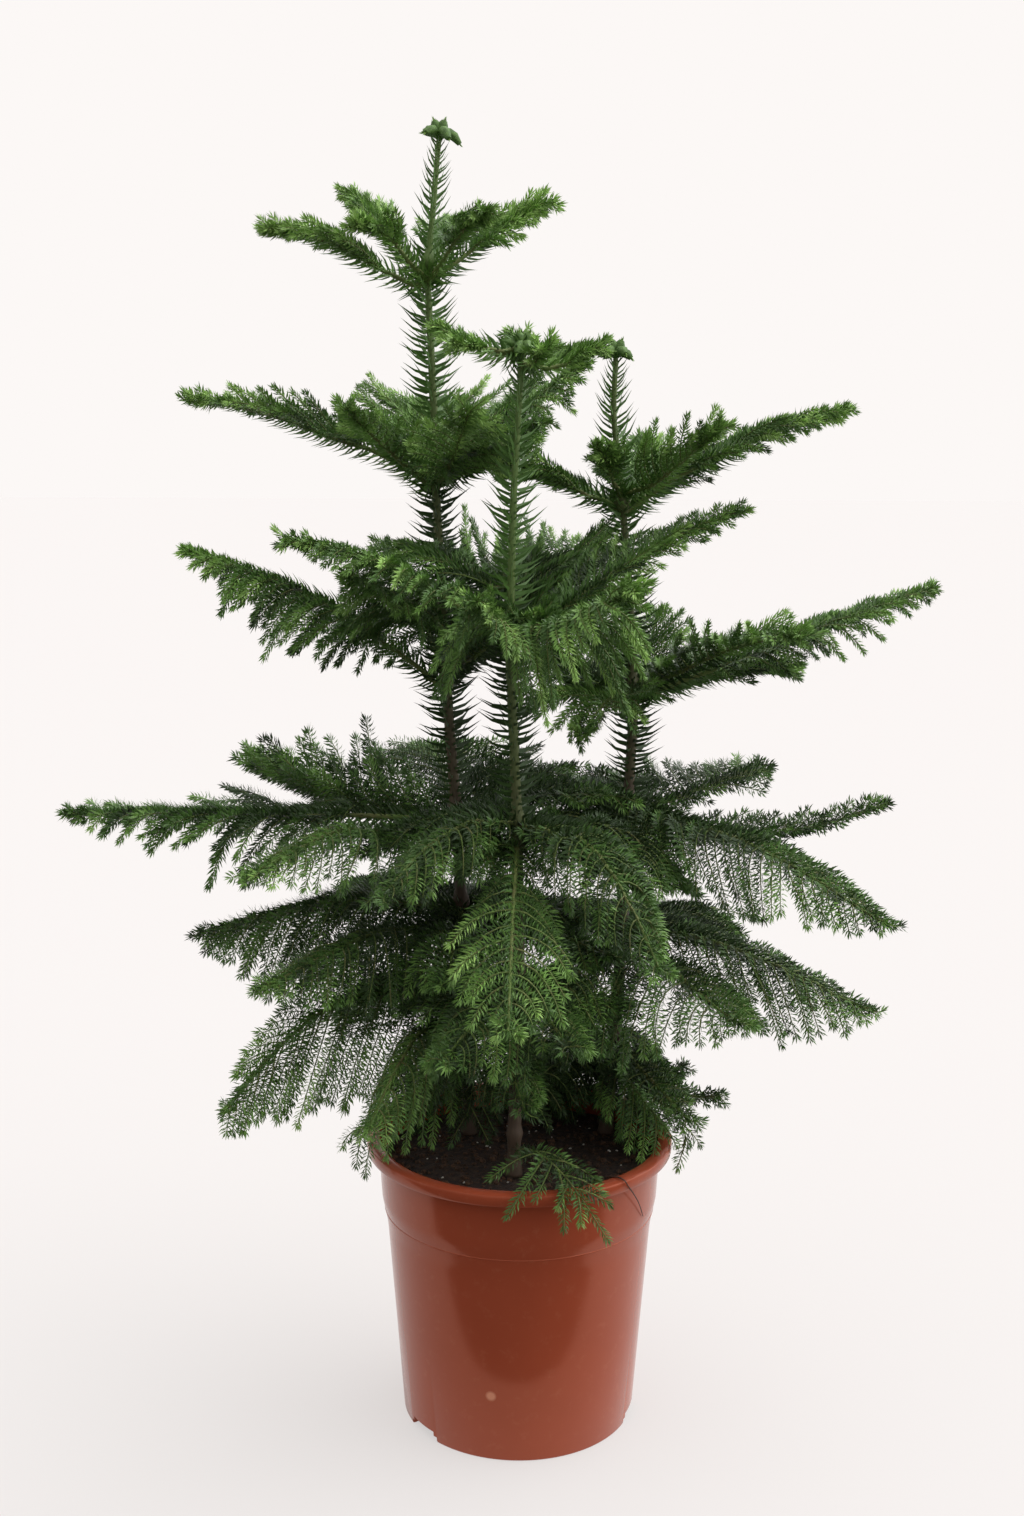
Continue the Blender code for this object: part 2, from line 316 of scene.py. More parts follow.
@dataclass(frozen=True)
class NeedleFinish:
    """Waxy living needles: a soft sheen on green that differs a little from spray to spray."""

    tint: Tint
    roughness: float = 0.5
    patch: float = 25 * MM
    lighter: float = 1.22
    darker: float = 0.8

    def build(self) -> Material:
        """Makes the material. Its patches are a few centimetres wide, as sprays are.

        Returns:
            The material.
        """
        # The wax gives a broad, dim highlight, so a spray reads as soft rather than wet.
        material = new_material(f"waxy_needle_{self.tint.name.lower()}")
        base = linear(self.tint.value)[:3]
        shades = ((0.36, self.darker), (0.66, self.lighter))
        tones = [(value, (*[c * share for c in base], 1.0)) for value, share in shades]
        grain = {"Scale": 1 / self.patch, "Detail": 2.0, "Roughness": 0.6}
        colour, _ = mottle(material.node_tree, grain, tones)
        return dress(material, {"Base Color": colour, "Roughness": self.roughness, "IOR": 1.42})


@dataclass(frozen=True)
class TwigFinish:
    """Young twig rind: matt olive green, a little browner in patches."""

    name: str = "young_twig_rind"
    green: str = "5a7030"
    brown: str = "66683a"
    patch: float = 12 * MM

    def build(self) -> Material:
        """Makes the material.

        Returns:
            The material.
        """
        # Dry rind scatters nearly all light, so the twigs stay quiet behind their needles.
        material = new_material(self.name)
        tones = [(0.4, linear(self.green)), (0.65, linear(self.brown))]
        colour, _ = mottle(material.node_tree, {"Scale": 1 / self.patch, "Detail": 3.0}, tones)
        return dress(material, {"Base Color": colour, "Roughness": 0.7})


@dataclass(frozen=True)
class BarkFinish:
    """Young stem rind: green and smooth above, turning to flaky brown bark lower down."""

    name: str
    turns_brown: float
    green: str = "3e5425"
    pale_green: str = "5f7636"
    brown: str = "36291e"
    pale_brown: str = "554433"
    change: float = 0.18
    fibre: float = 1.6 * MM
    drift: float = 30 * MM
    wander: float = 0.16

    def build(self) -> Material:
        """Makes the material. Fibres run up the stem, about a millimetre apart.

        Returns:
            The material.
        """
        # Dull fibres break up the stem's highlight, and the change of age wanders up and down.
        material = new_material(f"young_bark_{self.name}")
        tree = material.node_tree
        place = add_node(tree, "ShaderNodeTexCoord").outputs["Object"]
        upward = add_node(tree, "ShaderNodeMapping", {"Vector": place, "Scale": (1.0, 1.0, 0.2)})
        grain = {"Scale": 1 / self.fibre, "Detail": 4.0, "Roughness": 0.65}
        strands = {"Vector": upward.outputs["Vector"], **grain}
        fibre = add_node(tree, "ShaderNodeTexNoise", strands).outputs["Fac"]
        cloud = {"Vector": place, "Scale": 1 / self.drift, "Detail": 2.0}
        drift = add_node(tree, "ShaderNodeTexNoise", cloud).outputs["Fac"]
        stray = {"operation": "MULTIPLY_ADD", 0: drift, 1: self.wander, 2: -self.wander / 2}
        wander = add_node(tree, "ShaderNodeMath", stray).outputs["Value"]
        height = add_node(tree, "ShaderNodeSeparateXYZ", {"Vector": place}).outputs["Z"]
        level = add_node(tree, "ShaderNodeMath", {"operation": "ADD", 0: height, 1: wander}).outputs["Value"]
        span = {"From Min": self.turns_brown - self.change, "From Max": self.turns_brown + self.change}
        age = add_node(tree, "ShaderNodeMapRange", {"Value": level, **span}).outputs["Result"]
        tones = []
        for dark, pale in ((self.brown, self.pale_brown), (self.green, self.pale_green)):
            pair = {"data_type": "RGBA", 0: fibre, 6: linear(dark), 7: linear(pale)}
            tones.append(add_node(tree, "ShaderNodeMix", pair).outputs[2])
        whole = add_node(tree, "ShaderNodeMix", {"data_type": "RGBA", 0: age, 6: tones[0], 7: tones[1]})
        bump = add_node(tree, "ShaderNodeBump", {"Height": fibre, "Strength": 0.5, "Distance": 0.5 * MM})
        looks = {"Base Color": whole.outputs[2], "Normal": bump.outputs["Normal"], "Roughness": 0.72}
        return dress(material, looks)


@dataclass(frozen=True)
class MouldedPolypropylene:
    """Terracotta-coloured moulded polypropylene: satin, with flow marks and rubbed, dusty patches."""

    body: str = "92442d"
    deep: str = "863c27"
    dusty: str = "a5684f"
    sheen: str = "f0a588"
    roughness: float = 0.13
    flow: float = 60 * MM
    dust: float = 9 * MM
    scratch: float = 22 * MM
    gate_mark: tuple[float, float, float] = (-0.0183, -0.0817, 0.0479)
    gate_width: float = 6.2 * MM
    gate_colour: str = "c08468"

    def build(self) -> Material:
        """Makes the material. Scuffs gather in patches and fine scratches run round the wall.

        Returns:
            The material.
        """
        # A moulded skin is nearly glossy: it mirrors the room in long soft bands, and dust dulls them.
        material = new_material("terracotta_polypropylene")
        tree = material.node_tree
        place = add_node(tree, "ShaderNodeTexCoord").outputs["Object"]
        marks = {"Vector": place, "Scale": 1 / self.flow, "Detail": 3.0, "Roughness": 0.55}
        flow = add_node(tree, "ShaderNodeTexNoise", marks).outputs["Fac"]
        specks = {"Vector": place, "Scale": 1 / self.dust, "Detail": 6.0, "Roughness": 0.7}
        dust = add_node(tree, "ShaderNodeTexNoise", specks).outputs["Fac"]
        rubbed = {"Value": dust, "From Min": 0.56, "From Max": 0.85, "To Max": 0.34}
        settled = add_node(tree, "ShaderNodeMapRange", rubbed).outputs["Result"]
        gate = {"operation": "DISTANCE", 0: place, 1: self.gate_mark}
        away = add_node(tree, "ShaderNodeVectorMath", gate).outputs["Value"]
        ring = {"From Min": 0.35 * self.gate_width, "From Max": 0.65 * self.gate_width}
        fade = {"Value": away, **ring, "To Min": 0.8, "To Max": 0.0}
        spot = add_node(tree, "ShaderNodeMapRange", fade).outputs["Result"]
        colour = linear(self.deep)
        for share, over in ((flow, self.body), (settled, self.dusty), (spot, self.gate_colour)):
            layer = {"data_type": "RGBA", 0: share, 6: colour, 7: linear(over)}
            colour = add_node(tree, "ShaderNodeMix", layer).outputs[2]
        dulled = {"Value": dust, "To Min": self.roughness - 0.04, "To Max": self.roughness + 0.12}
        sheen = add_node(tree, "ShaderNodeMapRange", dulled).outputs["Result"]
        around = {"Vector": place, "Scale": (1.0, 1.0, 14.0)}
        level = add_node(tree, "ShaderNodeMapping", around).outputs["Vector"]
        lines = {"Vector": level, "Scale": 1 / self.scratch, "Detail": 5.0, "Roughness": 0.6}
        scratch = add_node(tree, "ShaderNodeTexNoise", lines).outputs["Fac"]
        bump = add_node(tree, "ShaderNodeBump", {"Height": scratch, "Strength": 0.08, "Distance": 0.4 * MM})
        looks = {"Base Color": colour, "Roughness": sheen, "Normal": bump.outputs["Normal"], "IOR": 1.49}
        return dress(material, {**looks, "Specular IOR Level": 0.76, "Specular Tint": linear(self.sheen)})


@dataclass(frozen=True)
class PottingMix:
    """Moist peat: nearly black brown, matt, with paler fibres."""

    name: str = "moist_peat"
    dark: str = "1d130e"
    light: str = "4a3424"
    grain: float = 3 * MM

    def build(self) -> Material:
        """Makes the material.

        Returns:
            The material.
        """
        # Loose damp crumbs swallow light, so only the paler fibres show between them.
        material = new_material(self.name)
        tree = material.node_tree
        grain = {"Scale": 1 / self.grain, "Detail": 6.0, "Roughness": 0.75}
        colour, crumb = mottle(tree, grain, [(0.42, linear(self.dark)), (0.75, linear(self.light))])
        bump = add_node(tree, "ShaderNodeBump", {"Height": crumb, "Strength": 0.9, "Distance": 1.2 * MM})
        return dress(material, {"Base Color": colour, "Normal": bump.outputs["Normal"], "Roughness": 0.95})


# --------------------------------------------------------------------------------------
# Geometry node trees
# --------------------------------------------------------------------------------------


@dataclass
class NeedleShape:
    """One awl-shaped needle, a unit long, that bends back towards its twig's tip."""

    name: str
    stations: tuple[tuple[float, float], ...]
    bend: float
    twist: float = 55.0

    def build(self) -> Object:
        """Makes the needle along +Z as a slender blade, with two triangles to each station.

        Returns:
            An unlinked object that the needle tree repeats.
        """
        turn = math.radians(self.twist)
        wide = Vector((math.cos(turn), math.sin(turn), 0.0))
        verts = [Vector()]
        for share, width in self.stations:
            middle = Vector((0.0, self.bend * share**2, share))
            verts += [middle - wide * width / 2, middle + wide * width / 2]
        verts.append(Vector((0.0, self.bend, 1.0)))
        last = len(verts) - 1
        faces = [(0, 2, 1), (last - 2, last - 1, last)]
        for near in range(1, last - 2, 2):
            faces += [(near, near + 1, near + 3), (near, near + 3, near + 2)]
        mesh = bpy.data.meshes.new(self.name)
        mesh.from_pydata(verts, [], faces)
        mesh.shade_smooth()
        return bpy.data.objects.new(self.name, mesh)


def new_tree(name: str, inputs: dict[str, str]) -> tuple[GeometryNodeTree, NodeOutputs]:
    """Makes a geometry tree that turns one geometry into another.

    Args:
        name: The tree's name.
        inputs: Its further inputs, by name, each with its type.

    Returns:
        The tree, and the sockets that give its inputs.
    """
    tree = bpy.data.node_groups.new(name, "GeometryNodeTree")
    for label, kind in {"Geometry": "Geometry", **inputs}.items():
        tree.interface.new_socket(label, in_out="INPUT", socket_type=f"NodeSocket{kind}")
    tree.interface.new_socket("Geometry", in_out="OUTPUT", socket_type="NodeSocketGeometry")
    return tree, add_node(tree, "NodeGroupInput").outputs


@dataclass
class NeedleTree:
    """Geometry Nodes that clothe twigs with needles set in a spiral."""

    needle: Object
    shortest: float = 0.8
    longest: float = 1.12
    stray_turn: float = 0.35

    def build(self) -> GeometryNodeTree:
        """Builds the tree.

        A line's radius carries the length of its needles, and its tilt their lean off the twig.

        Returns:
            The tree, with inputs for spacing, spread, seed and material.
        """
        inputs = {"Spacing": "Float", "Lean Spread": "Float", "Seed": "Int", "Material": "Material"}
        tree, given = new_tree(f"{self.needle.name}_spiral", inputs)
        curves = given["Geometry"]
        keep = add_node(tree, "GeometryNodeCaptureAttribute", {"domain": "POINT", "Geometry": curves})
        length = add_node(tree, "GeometryNodeInputRadius").outputs["Radius"]
        lean = add_node(tree, "GeometryNodeInputCurveTilt").outputs["Tilt"]
        for label, source in (("lean", lean), ("length", length)):
            keep.capture_items.new("FLOAT", label)
            tree.links.new(source, keep.inputs[label])
        kept = keep.outputs
        steps = {"mode": "LENGTH", "Curve": kept["Geometry"], "Length": given["Spacing"]}
        dots = add_node(tree, "GeometryNodeCurveToPoints", steps).outputs
        aim = add_node(tree, "FunctionNodeAlignRotationToVector", {"axis": "Z", "Vector": dots["Tangent"]})
        facing = aim.outputs["Rotation"]
        turns = (((0, 0, 1), self.spiral(tree, given)), ((1, 0, 0), self.uneven(tree, given, kept["lean"])))
        for axis, angle in turns:
            spin = add_node(tree, "FunctionNodeAxisAngleToRotation", {"Axis": axis, "Angle": angle})
            turn = {"rotation_space": "LOCAL", "Rotation": facing, "Rotate By": spin.outputs["Rotation"]}
            facing = add_node(tree, "FunctionNodeRotateRotation", turn).outputs["Rotation"]
        spread = {"data_type": "FLOAT", 2: self.shortest, 3: self.longest, "Seed": given["Seed"]}
        vary = add_node(tree, "FunctionNodeRandomValue", spread).outputs[1]
        product = {"operation": "MULTIPLY", 0: kept["length"], 1: vary}
        size = add_node(tree, "ShaderNodeMath", product).outputs["Value"]
        shape = add_node(tree, "GeometryNodeObjectInfo", {"Object": self.needle}).outputs["Geometry"]
        stand = {"Points": dots["Points"], "Instance": shape, "Rotation": facing, "Scale": size}
        many = add_node(tree, "GeometryNodeInstanceOnPoints", stand).outputs["Instances"]
        solid = add_node(tree, "GeometryNodeRealizeInstances", {"Geometry": many}).outputs["Geometry"]
        coat = {"Geometry": solid, "Material": given["Material"]}
        dressed = add_node(tree, "GeometryNodeSetMaterial", coat).outputs["Geometry"]
        add_node(tree, "NodeGroupOutput", {"Geometry": dressed})
        return tree

    def spiral(self, tree: NodeTree, given: NodeOutputs) -> NodeSocket:
        """The turn of each needle about its twig: the golden angle, a little uneven.

        Args:
            tree: The tree being built.
            given: The tree's own inputs.

        Returns:
            The socket that gives the angle.
        """
        number = add_node(tree, "GeometryNodeInputIndex").outputs["Index"]
        span = {"data_type": "FLOAT", 2: -self.stray_turn, 3: self.stray_turn, "Seed": given["Seed"]}
        stray = add_node(tree, "FunctionNodeRandomValue", span).outputs[1]
        turn = {"operation": "MULTIPLY_ADD", 0: number, 1: GOLDEN_ANGLE, 2: stray}
        return add_node(tree, "ShaderNodeMath", turn).outputs["Value"]

    def uneven(self, tree: NodeTree, given: NodeOutputs, lean: NodeSocket) -> NodeSocket:
        """A lean that differs a little from needle to needle.

        Args:
            tree: The tree being built.
            given: The tree's own inputs.
            lean: The socket that gives the even lean.

        Returns:
            The socket that gives the angle.
        """
        next_seed = add_node(tree, "ShaderNodeMath", {"operation": "ADD", 0: given["Seed"], 1: 1.0})
        span = {"data_type": "FLOAT", 2: -1.0, 3: 1.0, "Seed": next_seed.outputs["Value"]}
        stray = add_node(tree, "FunctionNodeRandomValue", span).outputs[1]
        both = {"operation": "MULTIPLY_ADD", 0: stray, 1: given["Lean Spread"], 2: lean}
        return add_node(tree, "ShaderNodeMath", both).outputs["Value"]


class WoodTree:
    """Geometry Nodes that turn twig lines into tapering round wood."""

    def build(self) -> GeometryNodeTree:
        """Builds the tree. A line's radius is the wood's radius.

        Returns:
            The tree, with inputs for the number of sides and the material.
        """
        tree, given = new_tree("tapering_twigs", {"Sides": "Int", "Material": "Material"})
        section = {"Radius": 1.0, "Resolution": given["Sides"]}
        ring = add_node(tree, "GeometryNodeCurvePrimitiveCircle", section).outputs["Curve"]
        radius = add_node(tree, "GeometryNodeInputRadius").outputs["Radius"]
        sweep = {"Curve": given["Geometry"], "Profile Curve": ring, "Scale": radius, "Fill Caps": True}
        tube = add_node(tree, "GeometryNodeCurveToMesh", sweep).outputs["Mesh"]
        soft = add_node(tree, "GeometryNodeSetShadeSmooth", {"Geometry": tube}).outputs["Geometry"]
        coat = {"Geometry": soft, "Material": given["Material"]}
        dressed = add_node(tree, "GeometryNodeSetMaterial", coat).outputs["Geometry"]
        realized = add_node(tree, "GeometryNodeRealizeInstances", {"Geometry": dressed})
        add_node(tree, "NodeGroupOutput", {"Geometry": realized.outputs["Geometry"]})
        return tree


def run_tree(
    host: Object,
    tree: GeometryNodeTree,
    values: dict,
    material: Material,
    name: str,
) -> Object:
    """Runs a geometry tree on an object once and keeps the result as a plain mesh.

    Args:
        host: The object that the tree works on; it is removed afterwards.
        tree: The tree.
        values: Values of the tree's inputs, by name.
        material: The material that the result carries.
        name: The new object's name.

    Returns:
        The new mesh object, at the origin.
    """
    modifier = host.modifiers.new("grow", "NODES")
    modifier.node_group = tree
    sockets = {item.name: item.identifier for item in tree.interface.items_tree if item.in_out == "INPUT"}
    for label, value in {**values, "Material": material}.items():
        modifier[sockets[label]] = value
    graph = bpy.context.evaluated_depsgraph_get()
    mesh = bpy.data.meshes.new_from_object(host.evaluated_get(graph), depsgraph=graph)
    host.modifiers.clear()
    bpy.data.objects.remove(host)
    if not mesh.materials:
        mesh.materials.append(material)
    return link_mesh(name, mesh)


# --------------------------------------------------------------------------------------
# What the solids say
# --------------------------------------------------------------------------------------


LEVEL_INSET = 0.4 * MM
END_INSET = 0.6 * MM
TIP_SIZE = 6 * MM


def sliced(obj: Object, origin: Vector, normal: Vector) -> np.ndarray:
    """The points where a solid's faces cross a plane.

    Args:
        obj: The solid.
        origin: A point of the plane.
        normal: The plane's unit normal.

    Returns:
        The crossing points, one row each.
    """
    mesh = obj.data
    points = np.empty(len(mesh.vertices) * 3)
    mesh.vertices.foreach_get("co", points)
    points = points.reshape(-1, 3)
    ends = np.empty(len(mesh.edges) * 2, dtype=np.int64)
    mesh.edges.foreach_get("vertices", ends)
    ends = ends.reshape(-1, 2)
    height = (points - np.array(origin)) @ np.array(normal)
    near, far = height[ends[:, 0]], height[ends[:, 1]]
    cross = near * far < 0
    share = (near / np.where(cross, near - far, 1.0))[cross][:, None]
    a, b = points[ends[cross, 0]], points[ends[cross, 1]]
    return a + (b - a) * share


@dataclass
class StemLine:
    """A stem's centre line and radius, read from its solid."""

    node: str
    heights: list[float] = field(default_factory=list)
    middles: list[Vector] = field(default_factory=list)
    radii: list[float] = field(default_factory=list)

    def read(self, obj: Object, levels: int = 60) -> "StemLine":
        """Slices the solid at even heights.

        Args:
            obj: The stem's solid.
            levels: How many slices.

        Returns:
            The stem line itself.
        """
        low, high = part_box(self.node)
        for i in range(levels):
            height = blend_value(low.z + LEVEL_INSET, high.z - LEVEL_INSET, i / (levels - 1))
            cut = sliced(obj, Vector((0, 0, height)), UP)
            middle = Vector(cut.mean(axis=0))
            self.heights.append(height)
            self.middles.append(middle)
            self.radii.append(float(np.linalg.norm(cut - cut.mean(axis=0), axis=1).max()))
        return self

    def middle(self, height: float) -> Vector:
        """The centre line's point at a height."""
        x, y = (float(np.interp(height, self.heights, [m[axis] for m in self.middles])) for axis in (0, 1))
        return Vector((x, y, height))

    def radius(self, height: float) -> float:
        """The stem's radius at a height."""
        return float(np.interp(height, self.heights, self.radii))


@dataclass
class BoughForm:
    """A bough's middle line and both edges of its foliage, read from its solid."""

    name: str
    spine: list[Vector] = field(default_factory=list)
    left_edge: list[Vector] = field(default_factory=list)
    right_edge: list[Vector] = field(default_factory=list)
    half_depth: list[float] = field(default_factory=list)
    out: Vector = field(default_factory=Vector)
    across: Vector = field(default_factory=Vector)
    attach: Vector = field(default_factory=Vector)

    def read(self, obj: Object, stem: StemLine, stations: int = 17) -> "BoughForm":
        """Slices the solid across its length, from the stem to its tip.

        Args:
            obj: The foliage solid.
            stem: The stem that carries it.
            stations: How many slices.

        Returns:
            The form itself.
        """
        points = [vertex.co.copy() for vertex in obj.data.vertices]
        away = [(p - stem.middle(p.z)).to_2d().length for p in points]
        root = points[away.index(min(away))]
        farthest = max(points, key=lambda p: (p - root).length)
        tips = [p for p in points if (p - farthest).length < TIP_SIZE]
        tip = sum(tips, Vector()) / len(tips)
        centre = stem.middle(root.z)
        self.out = Vector((tip.x - centre.x, tip.y - centre.y, 0)).normalized()
        self.across = UP.cross(self.out)
        near = min((p - centre).dot(self.out) for p in points)
        far = max((p - centre).dot(self.out) for p in points)
        for i in range(stations):
            distance = blend_value(near + END_INSET, far - END_INSET, i / (stations - 1))
            plane = centre + self.out * distance
            cut = sliced(obj, plane, self.out)
            aside = (cut - np.array(centre)) @ np.array(self.across)
            inner = np.abs(aside) <= max(0.4 * MM, 0.35 * np.abs(aside).max())
            heights = cut[inner if inner.any() else slice(None), 2]
            low, high = float(heights.min()), float(heights.max())
            self.spine.append(Vector((plane.x, plane.y, 0.5 * (high + low))))
            self.half_depth.append(0.5 * (high - low))
            left = cut[aside > 0.9 * aside.max()].mean(axis=0) if aside.max() > 0 else cut.mean(axis=0)
            right = cut[aside < 0.9 * aside.min()].mean(axis=0) if aside.min() < 0 else cut.mean(axis=0)
            self.left_edge.append(Vector(left))
            self.right_edge.append(Vector(right))
        self.attach = self.spine[0]
        return self

    def settle(self, root_drop: float, sag: float) -> None:
        """Lowers the form at its root and at its tip, and less between them."""
        for line in (self.spine, self.left_edge, self.right_edge):
            for i, point in enumerate(line):
                share = i / (len(line) - 1)
                point.z -= root_drop * (1 - share) ** 2 + sag * share**2

    def reach(self) -> float:
        """The length of the middle line."""
        return sum((b - a).length for a, b in zip(self.spine, self.spine[1:]))

    def edge(self, side: int, share: float) -> Vector:
        """The left (side 1) or right (side -1) edge's point beside this share of the middle line."""
        return place_on(self.left_edge if side > 0 else self.right_edge, share)

    def middle(self, share: float) -> Vector:
        """The middle line's point at this share of its plan length."""
        return place_on(self.spine, share)

    def hang(self) -> float:
        """How far the edges hang below the middle line, on average; below zero they rise."""
        drops = [m.z - 0.5 * (a.z + b.z) for m, a, b in zip(self.spine, self.left_edge, self.right_edge)]
        return sum(drops) / len(drops)

    def depth(self, share: float) -> float:
        """Half the thickness of the foliage at this share."""
        return float(np.interp(share, np.linspace(0, 1, len(self.half_depth)), self.half_depth))

    def wood(self, share: float) -> Vector:
        """The bough's wood at this share: low where the twigs rise from it, high where they hang."""
        place = max(0.0, min(1.0, share))
        bias = max(-0.55, min(0.5, -0.45 + self.hang() / (22 * MM)))
        return self.middle(share) + UP * bias * self.depth(place) * min(1.0, 4 * place) * (1 - place)


# --------------------------------------------------------------------------------------
# The plant
# --------------------------------------------------------------------------------------


class Kind(Enum):
    """The kinds of leafy wood, each with the gap between its needles along it."""

    TWIG = 0.44 * MM
    FEATHER = 0.5 * MM
    LEADER = 0.6 * MM
    STEM = 0.76 * MM
    BUD = 0.11 * MM
    TUFT = 0.24 * MM


TWIG_TIP = 0.35 * MM
Stops = Sequence[tuple[float, float]]


def ramp_values(stops: Stops, count: int) -> list[float]:
    """Even samples of a line through (share, value) stops.

    Args:
        stops: The stops, with shares from 0 to 1 in order; before the first, the value stays the same.
        count: How many samples.

    Returns:
        The values.
    """
    shares, values = zip(*stops)
    return [float(v) for v in np.interp(np.linspace(0, 1, count), shares, values)]


@dataclass
class Shoot:
    """One leafy line of wood, with a wood radius, a needle length and a lean at each point."""

    kind: Kind
    points: list[Vector]
    wood: list[float]
    needles: list[float]
    leans: list[float]
    tint: Tint
    tip_tint: Optional[Tint] = None

    @classmethod
    def along(
        cls,
        kind: Kind,
        line: list[Vector],
        wood: Stops,
        needles: Stops,
        leans: Stops,
        tint: Tint,
        tip_tint: Tint,
    ) -> "Shoot":
        """Makes a shoot whose values run evenly through stops.

        Args:
            kind: The kind of shoot.
            line: Its points, from root to tip.
            wood: Stops of its wood's radius.
            needles: Stops of its needles' length.
            leans: Stops of their lean.
            tint: The tint of its nearer half.
            tip_tint: The tint of its farther half.

        Returns:
            The shoot.
        """
        values = [ramp_values(stops, len(line)) for stops in (wood, needles, leans)]
        return cls(kind, line, *values, tint, tip_tint)

    def runs(self, tint: Tint) -> list[tuple[list[Vector], list[float], list[float]]]:
        """The stretches of the shoot whose needles have a tint.

        Args:
            tint: The tint.

        Returns:
            The points, needle lengths and leans of each stretch.
        """
        values = (self.points, self.needles, self.leans)
        if self.tip_tint in (None, self.tint):
            return [values] if self.tint is tint else []
        cut = (len(self.points) + 1) // 2
        halves = ((self.tint, slice(0, cut + 1)), (self.tip_tint, slice(cut, None)))
        return [tuple(value[half] for value in values) for own, half in halves if own is tint]


def bend_line(start: Vector, middle: Vector, end: Vector, count: int) -> list[Vector]:
    """Points along the curve that leaves start towards middle and arrives at end.

    Args:
        start: The first point.
        middle: The point that both ends of the curve aim at.
        end: The last point.
        count: How many points.

    Returns:
        The points.
    """
    shares = [i / (count - 1) for i in range(count)]
    return [start * (1 - t) ** 2 + middle * (2 * t * (1 - t)) + end * t**2 for t in shares]


@dataclass(frozen=True)
class Habit:
    """How the side twigs of a bough grow. Lengths are in metres, angles in degrees, leans in radians."""

    twig_gap: float
    needle: float
    twig_angle: float = 55.0
    leaving_angle: float = 70.0
    scatter: float = 0.2
    shortest: float = 12 * MM
    stretch: float = 1.0
    lean: float = 1.1
    tip_lean: float = 0.6
    bare: float = 12 * MM
    brush: float = 0.35
    sag: float = 0.0
    root_drop: float = 0.0
    hand_back: float = 0.25
    rise: float = 0.0
    drop: float = 0.0
    hand: int = 0
    hand_length: float = 14 * MM
    hand_rise: float = 0.4
    twig: Kind = Kind.TWIG
    # A shift of the bough's tint score: above zero lighter tints, as painted light, below zero darker ones, as
    # painted shade.
    lighter_tint: float = 0.0


PLUME = Habit(
    5.2 * MM, 6.8 * MM, twig_angle=56, scatter=0.26, shortest=15 * MM, stretch=1.14, bare=20 * MM, hand=4
)
HUMP = replace(PLUME, hand=9, hand_length=19 * MM, hand_rise=0.6)
CREST = replace(
    PLUME, needle=7.4 * MM, twig_angle=42, leaving_angle=52, shortest=16 * MM, bare=34 * MM, brush=0.6,
    hand=8, hand_length=17 * MM,
)
TOP_CREST = replace(CREST, root_drop=14 * MM)
BROAD_CREST = replace(
    TOP_CREST, needle=7.8 * MM, hand=14, hand_length=21 * MM, hand_rise=0.8, hand_back=0.8, sag=3 * MM,
    rise=7 * MM, drop=16 * MM,
)
FEATHER = Habit(
    7.0 * MM, 7.6 * MM, twig_angle=57, scatter=0.18, shortest=18 * MM, stretch=1.08, lean=1.42, tip_lean=0.95,
    hand=3, twig=Kind.FEATHER,
)
OPEN_FEATHER = replace(FEATHER, twig_gap=10 * MM)
FAN = Habit(
    6.9 * MM, 7.2 * MM, twig_angle=60, scatter=0.12, stretch=1.16, lean=1.42, tip_lean=0.95, hand=3,
    twig=Kind.FEATHER,
)
UPRIGHT_FAN = replace(
    FAN, twig_gap=6.4 * MM, needle=8.0 * MM, twig_angle=48, stretch=1.0, rise=38 * MM, drop=70 * MM,
    scatter=0.06, hand=4, lighter_tint=0.25,
)
CURTAIN = replace(
    FAN, twig_gap=8.4 * MM, twig_angle=74, stretch=1.0, rise=-44 * MM, drop=50 * MM, scatter=0.06,
    lighter_tint=0.15,
)
HABITS: dict[tuple, Habit] = {
    ("tall", 1, "right"): BROAD_CREST,
    ("tall", 3, "left"): replace(PLUME, twig_gap=4.8 * MM, needle=7.4 * MM, stretch=1.32),
    ("tall", 2, "front_left"): HUMP,
    ("tall", 2, "front"): HUMP,
    ("tall", 2, "right"): HUMP,
    ("tall", 4, "left"): replace(PLUME, needle=7.6 * MM, stretch=1.2, scatter=0.4),
    ("tall", 4, "back_left"): replace(
        FEATHER, twig_gap=5.6 * MM, needle=9.0 * MM, stretch=1.2, hand=6, hand_length=18 * MM, lighter_tint=0.1
    ),
    ("tall", 6, "left"): UPRIGHT_FAN,
    ("tall", 6, "front_left"): CURTAIN,
    ("front", 2, "left"): HUMP,
    ("front", 2, "front_right"): HUMP,
    ("front", 3, "front"): OPEN_FEATHER,
    ("right", 1, "front_right"): HUMP,
    ("right", 2, "front_right"): HUMP,
    ("tall", 1): TOP_CREST,
    ("front", 1): CREST,
    ("right", 1): CREST,
    ("tall", 4): FEATHER,
    ("tall", 5): replace(FAN, twig_gap=6.2 * MM, needle=7.8 * MM),
    ("tall", 6): FAN,
    # The front boughs of the third tier get darker tints: painted shade below the upper boughs.
    ("front", 3): replace(FEATHER, lighter_tint=-0.16),
    ("front", 4): FEATHER,
    ("front", 5): FEATHER,
    ("right", 3): replace(FEATHER, twig_gap=6.0 * MM, lighter_tint=-0.12),
    ("right", 4): FAN,
    ("right", 5): FAN,
}


# A spray has the first tint here whose limit its score stays below, and else the freshest.
TINT_LIMITS = ((0.22, Tint.SHADED), (0.5, Tint.MATURE), (0.8, Tint.SUMMER))
# A twig gets more points from the first length on, and its full thickness from the second.
LONG_TWIG = 16 * MM
STOUT_TWIG = 35 * MM
TWIG_WOOD = 0.75 * MM
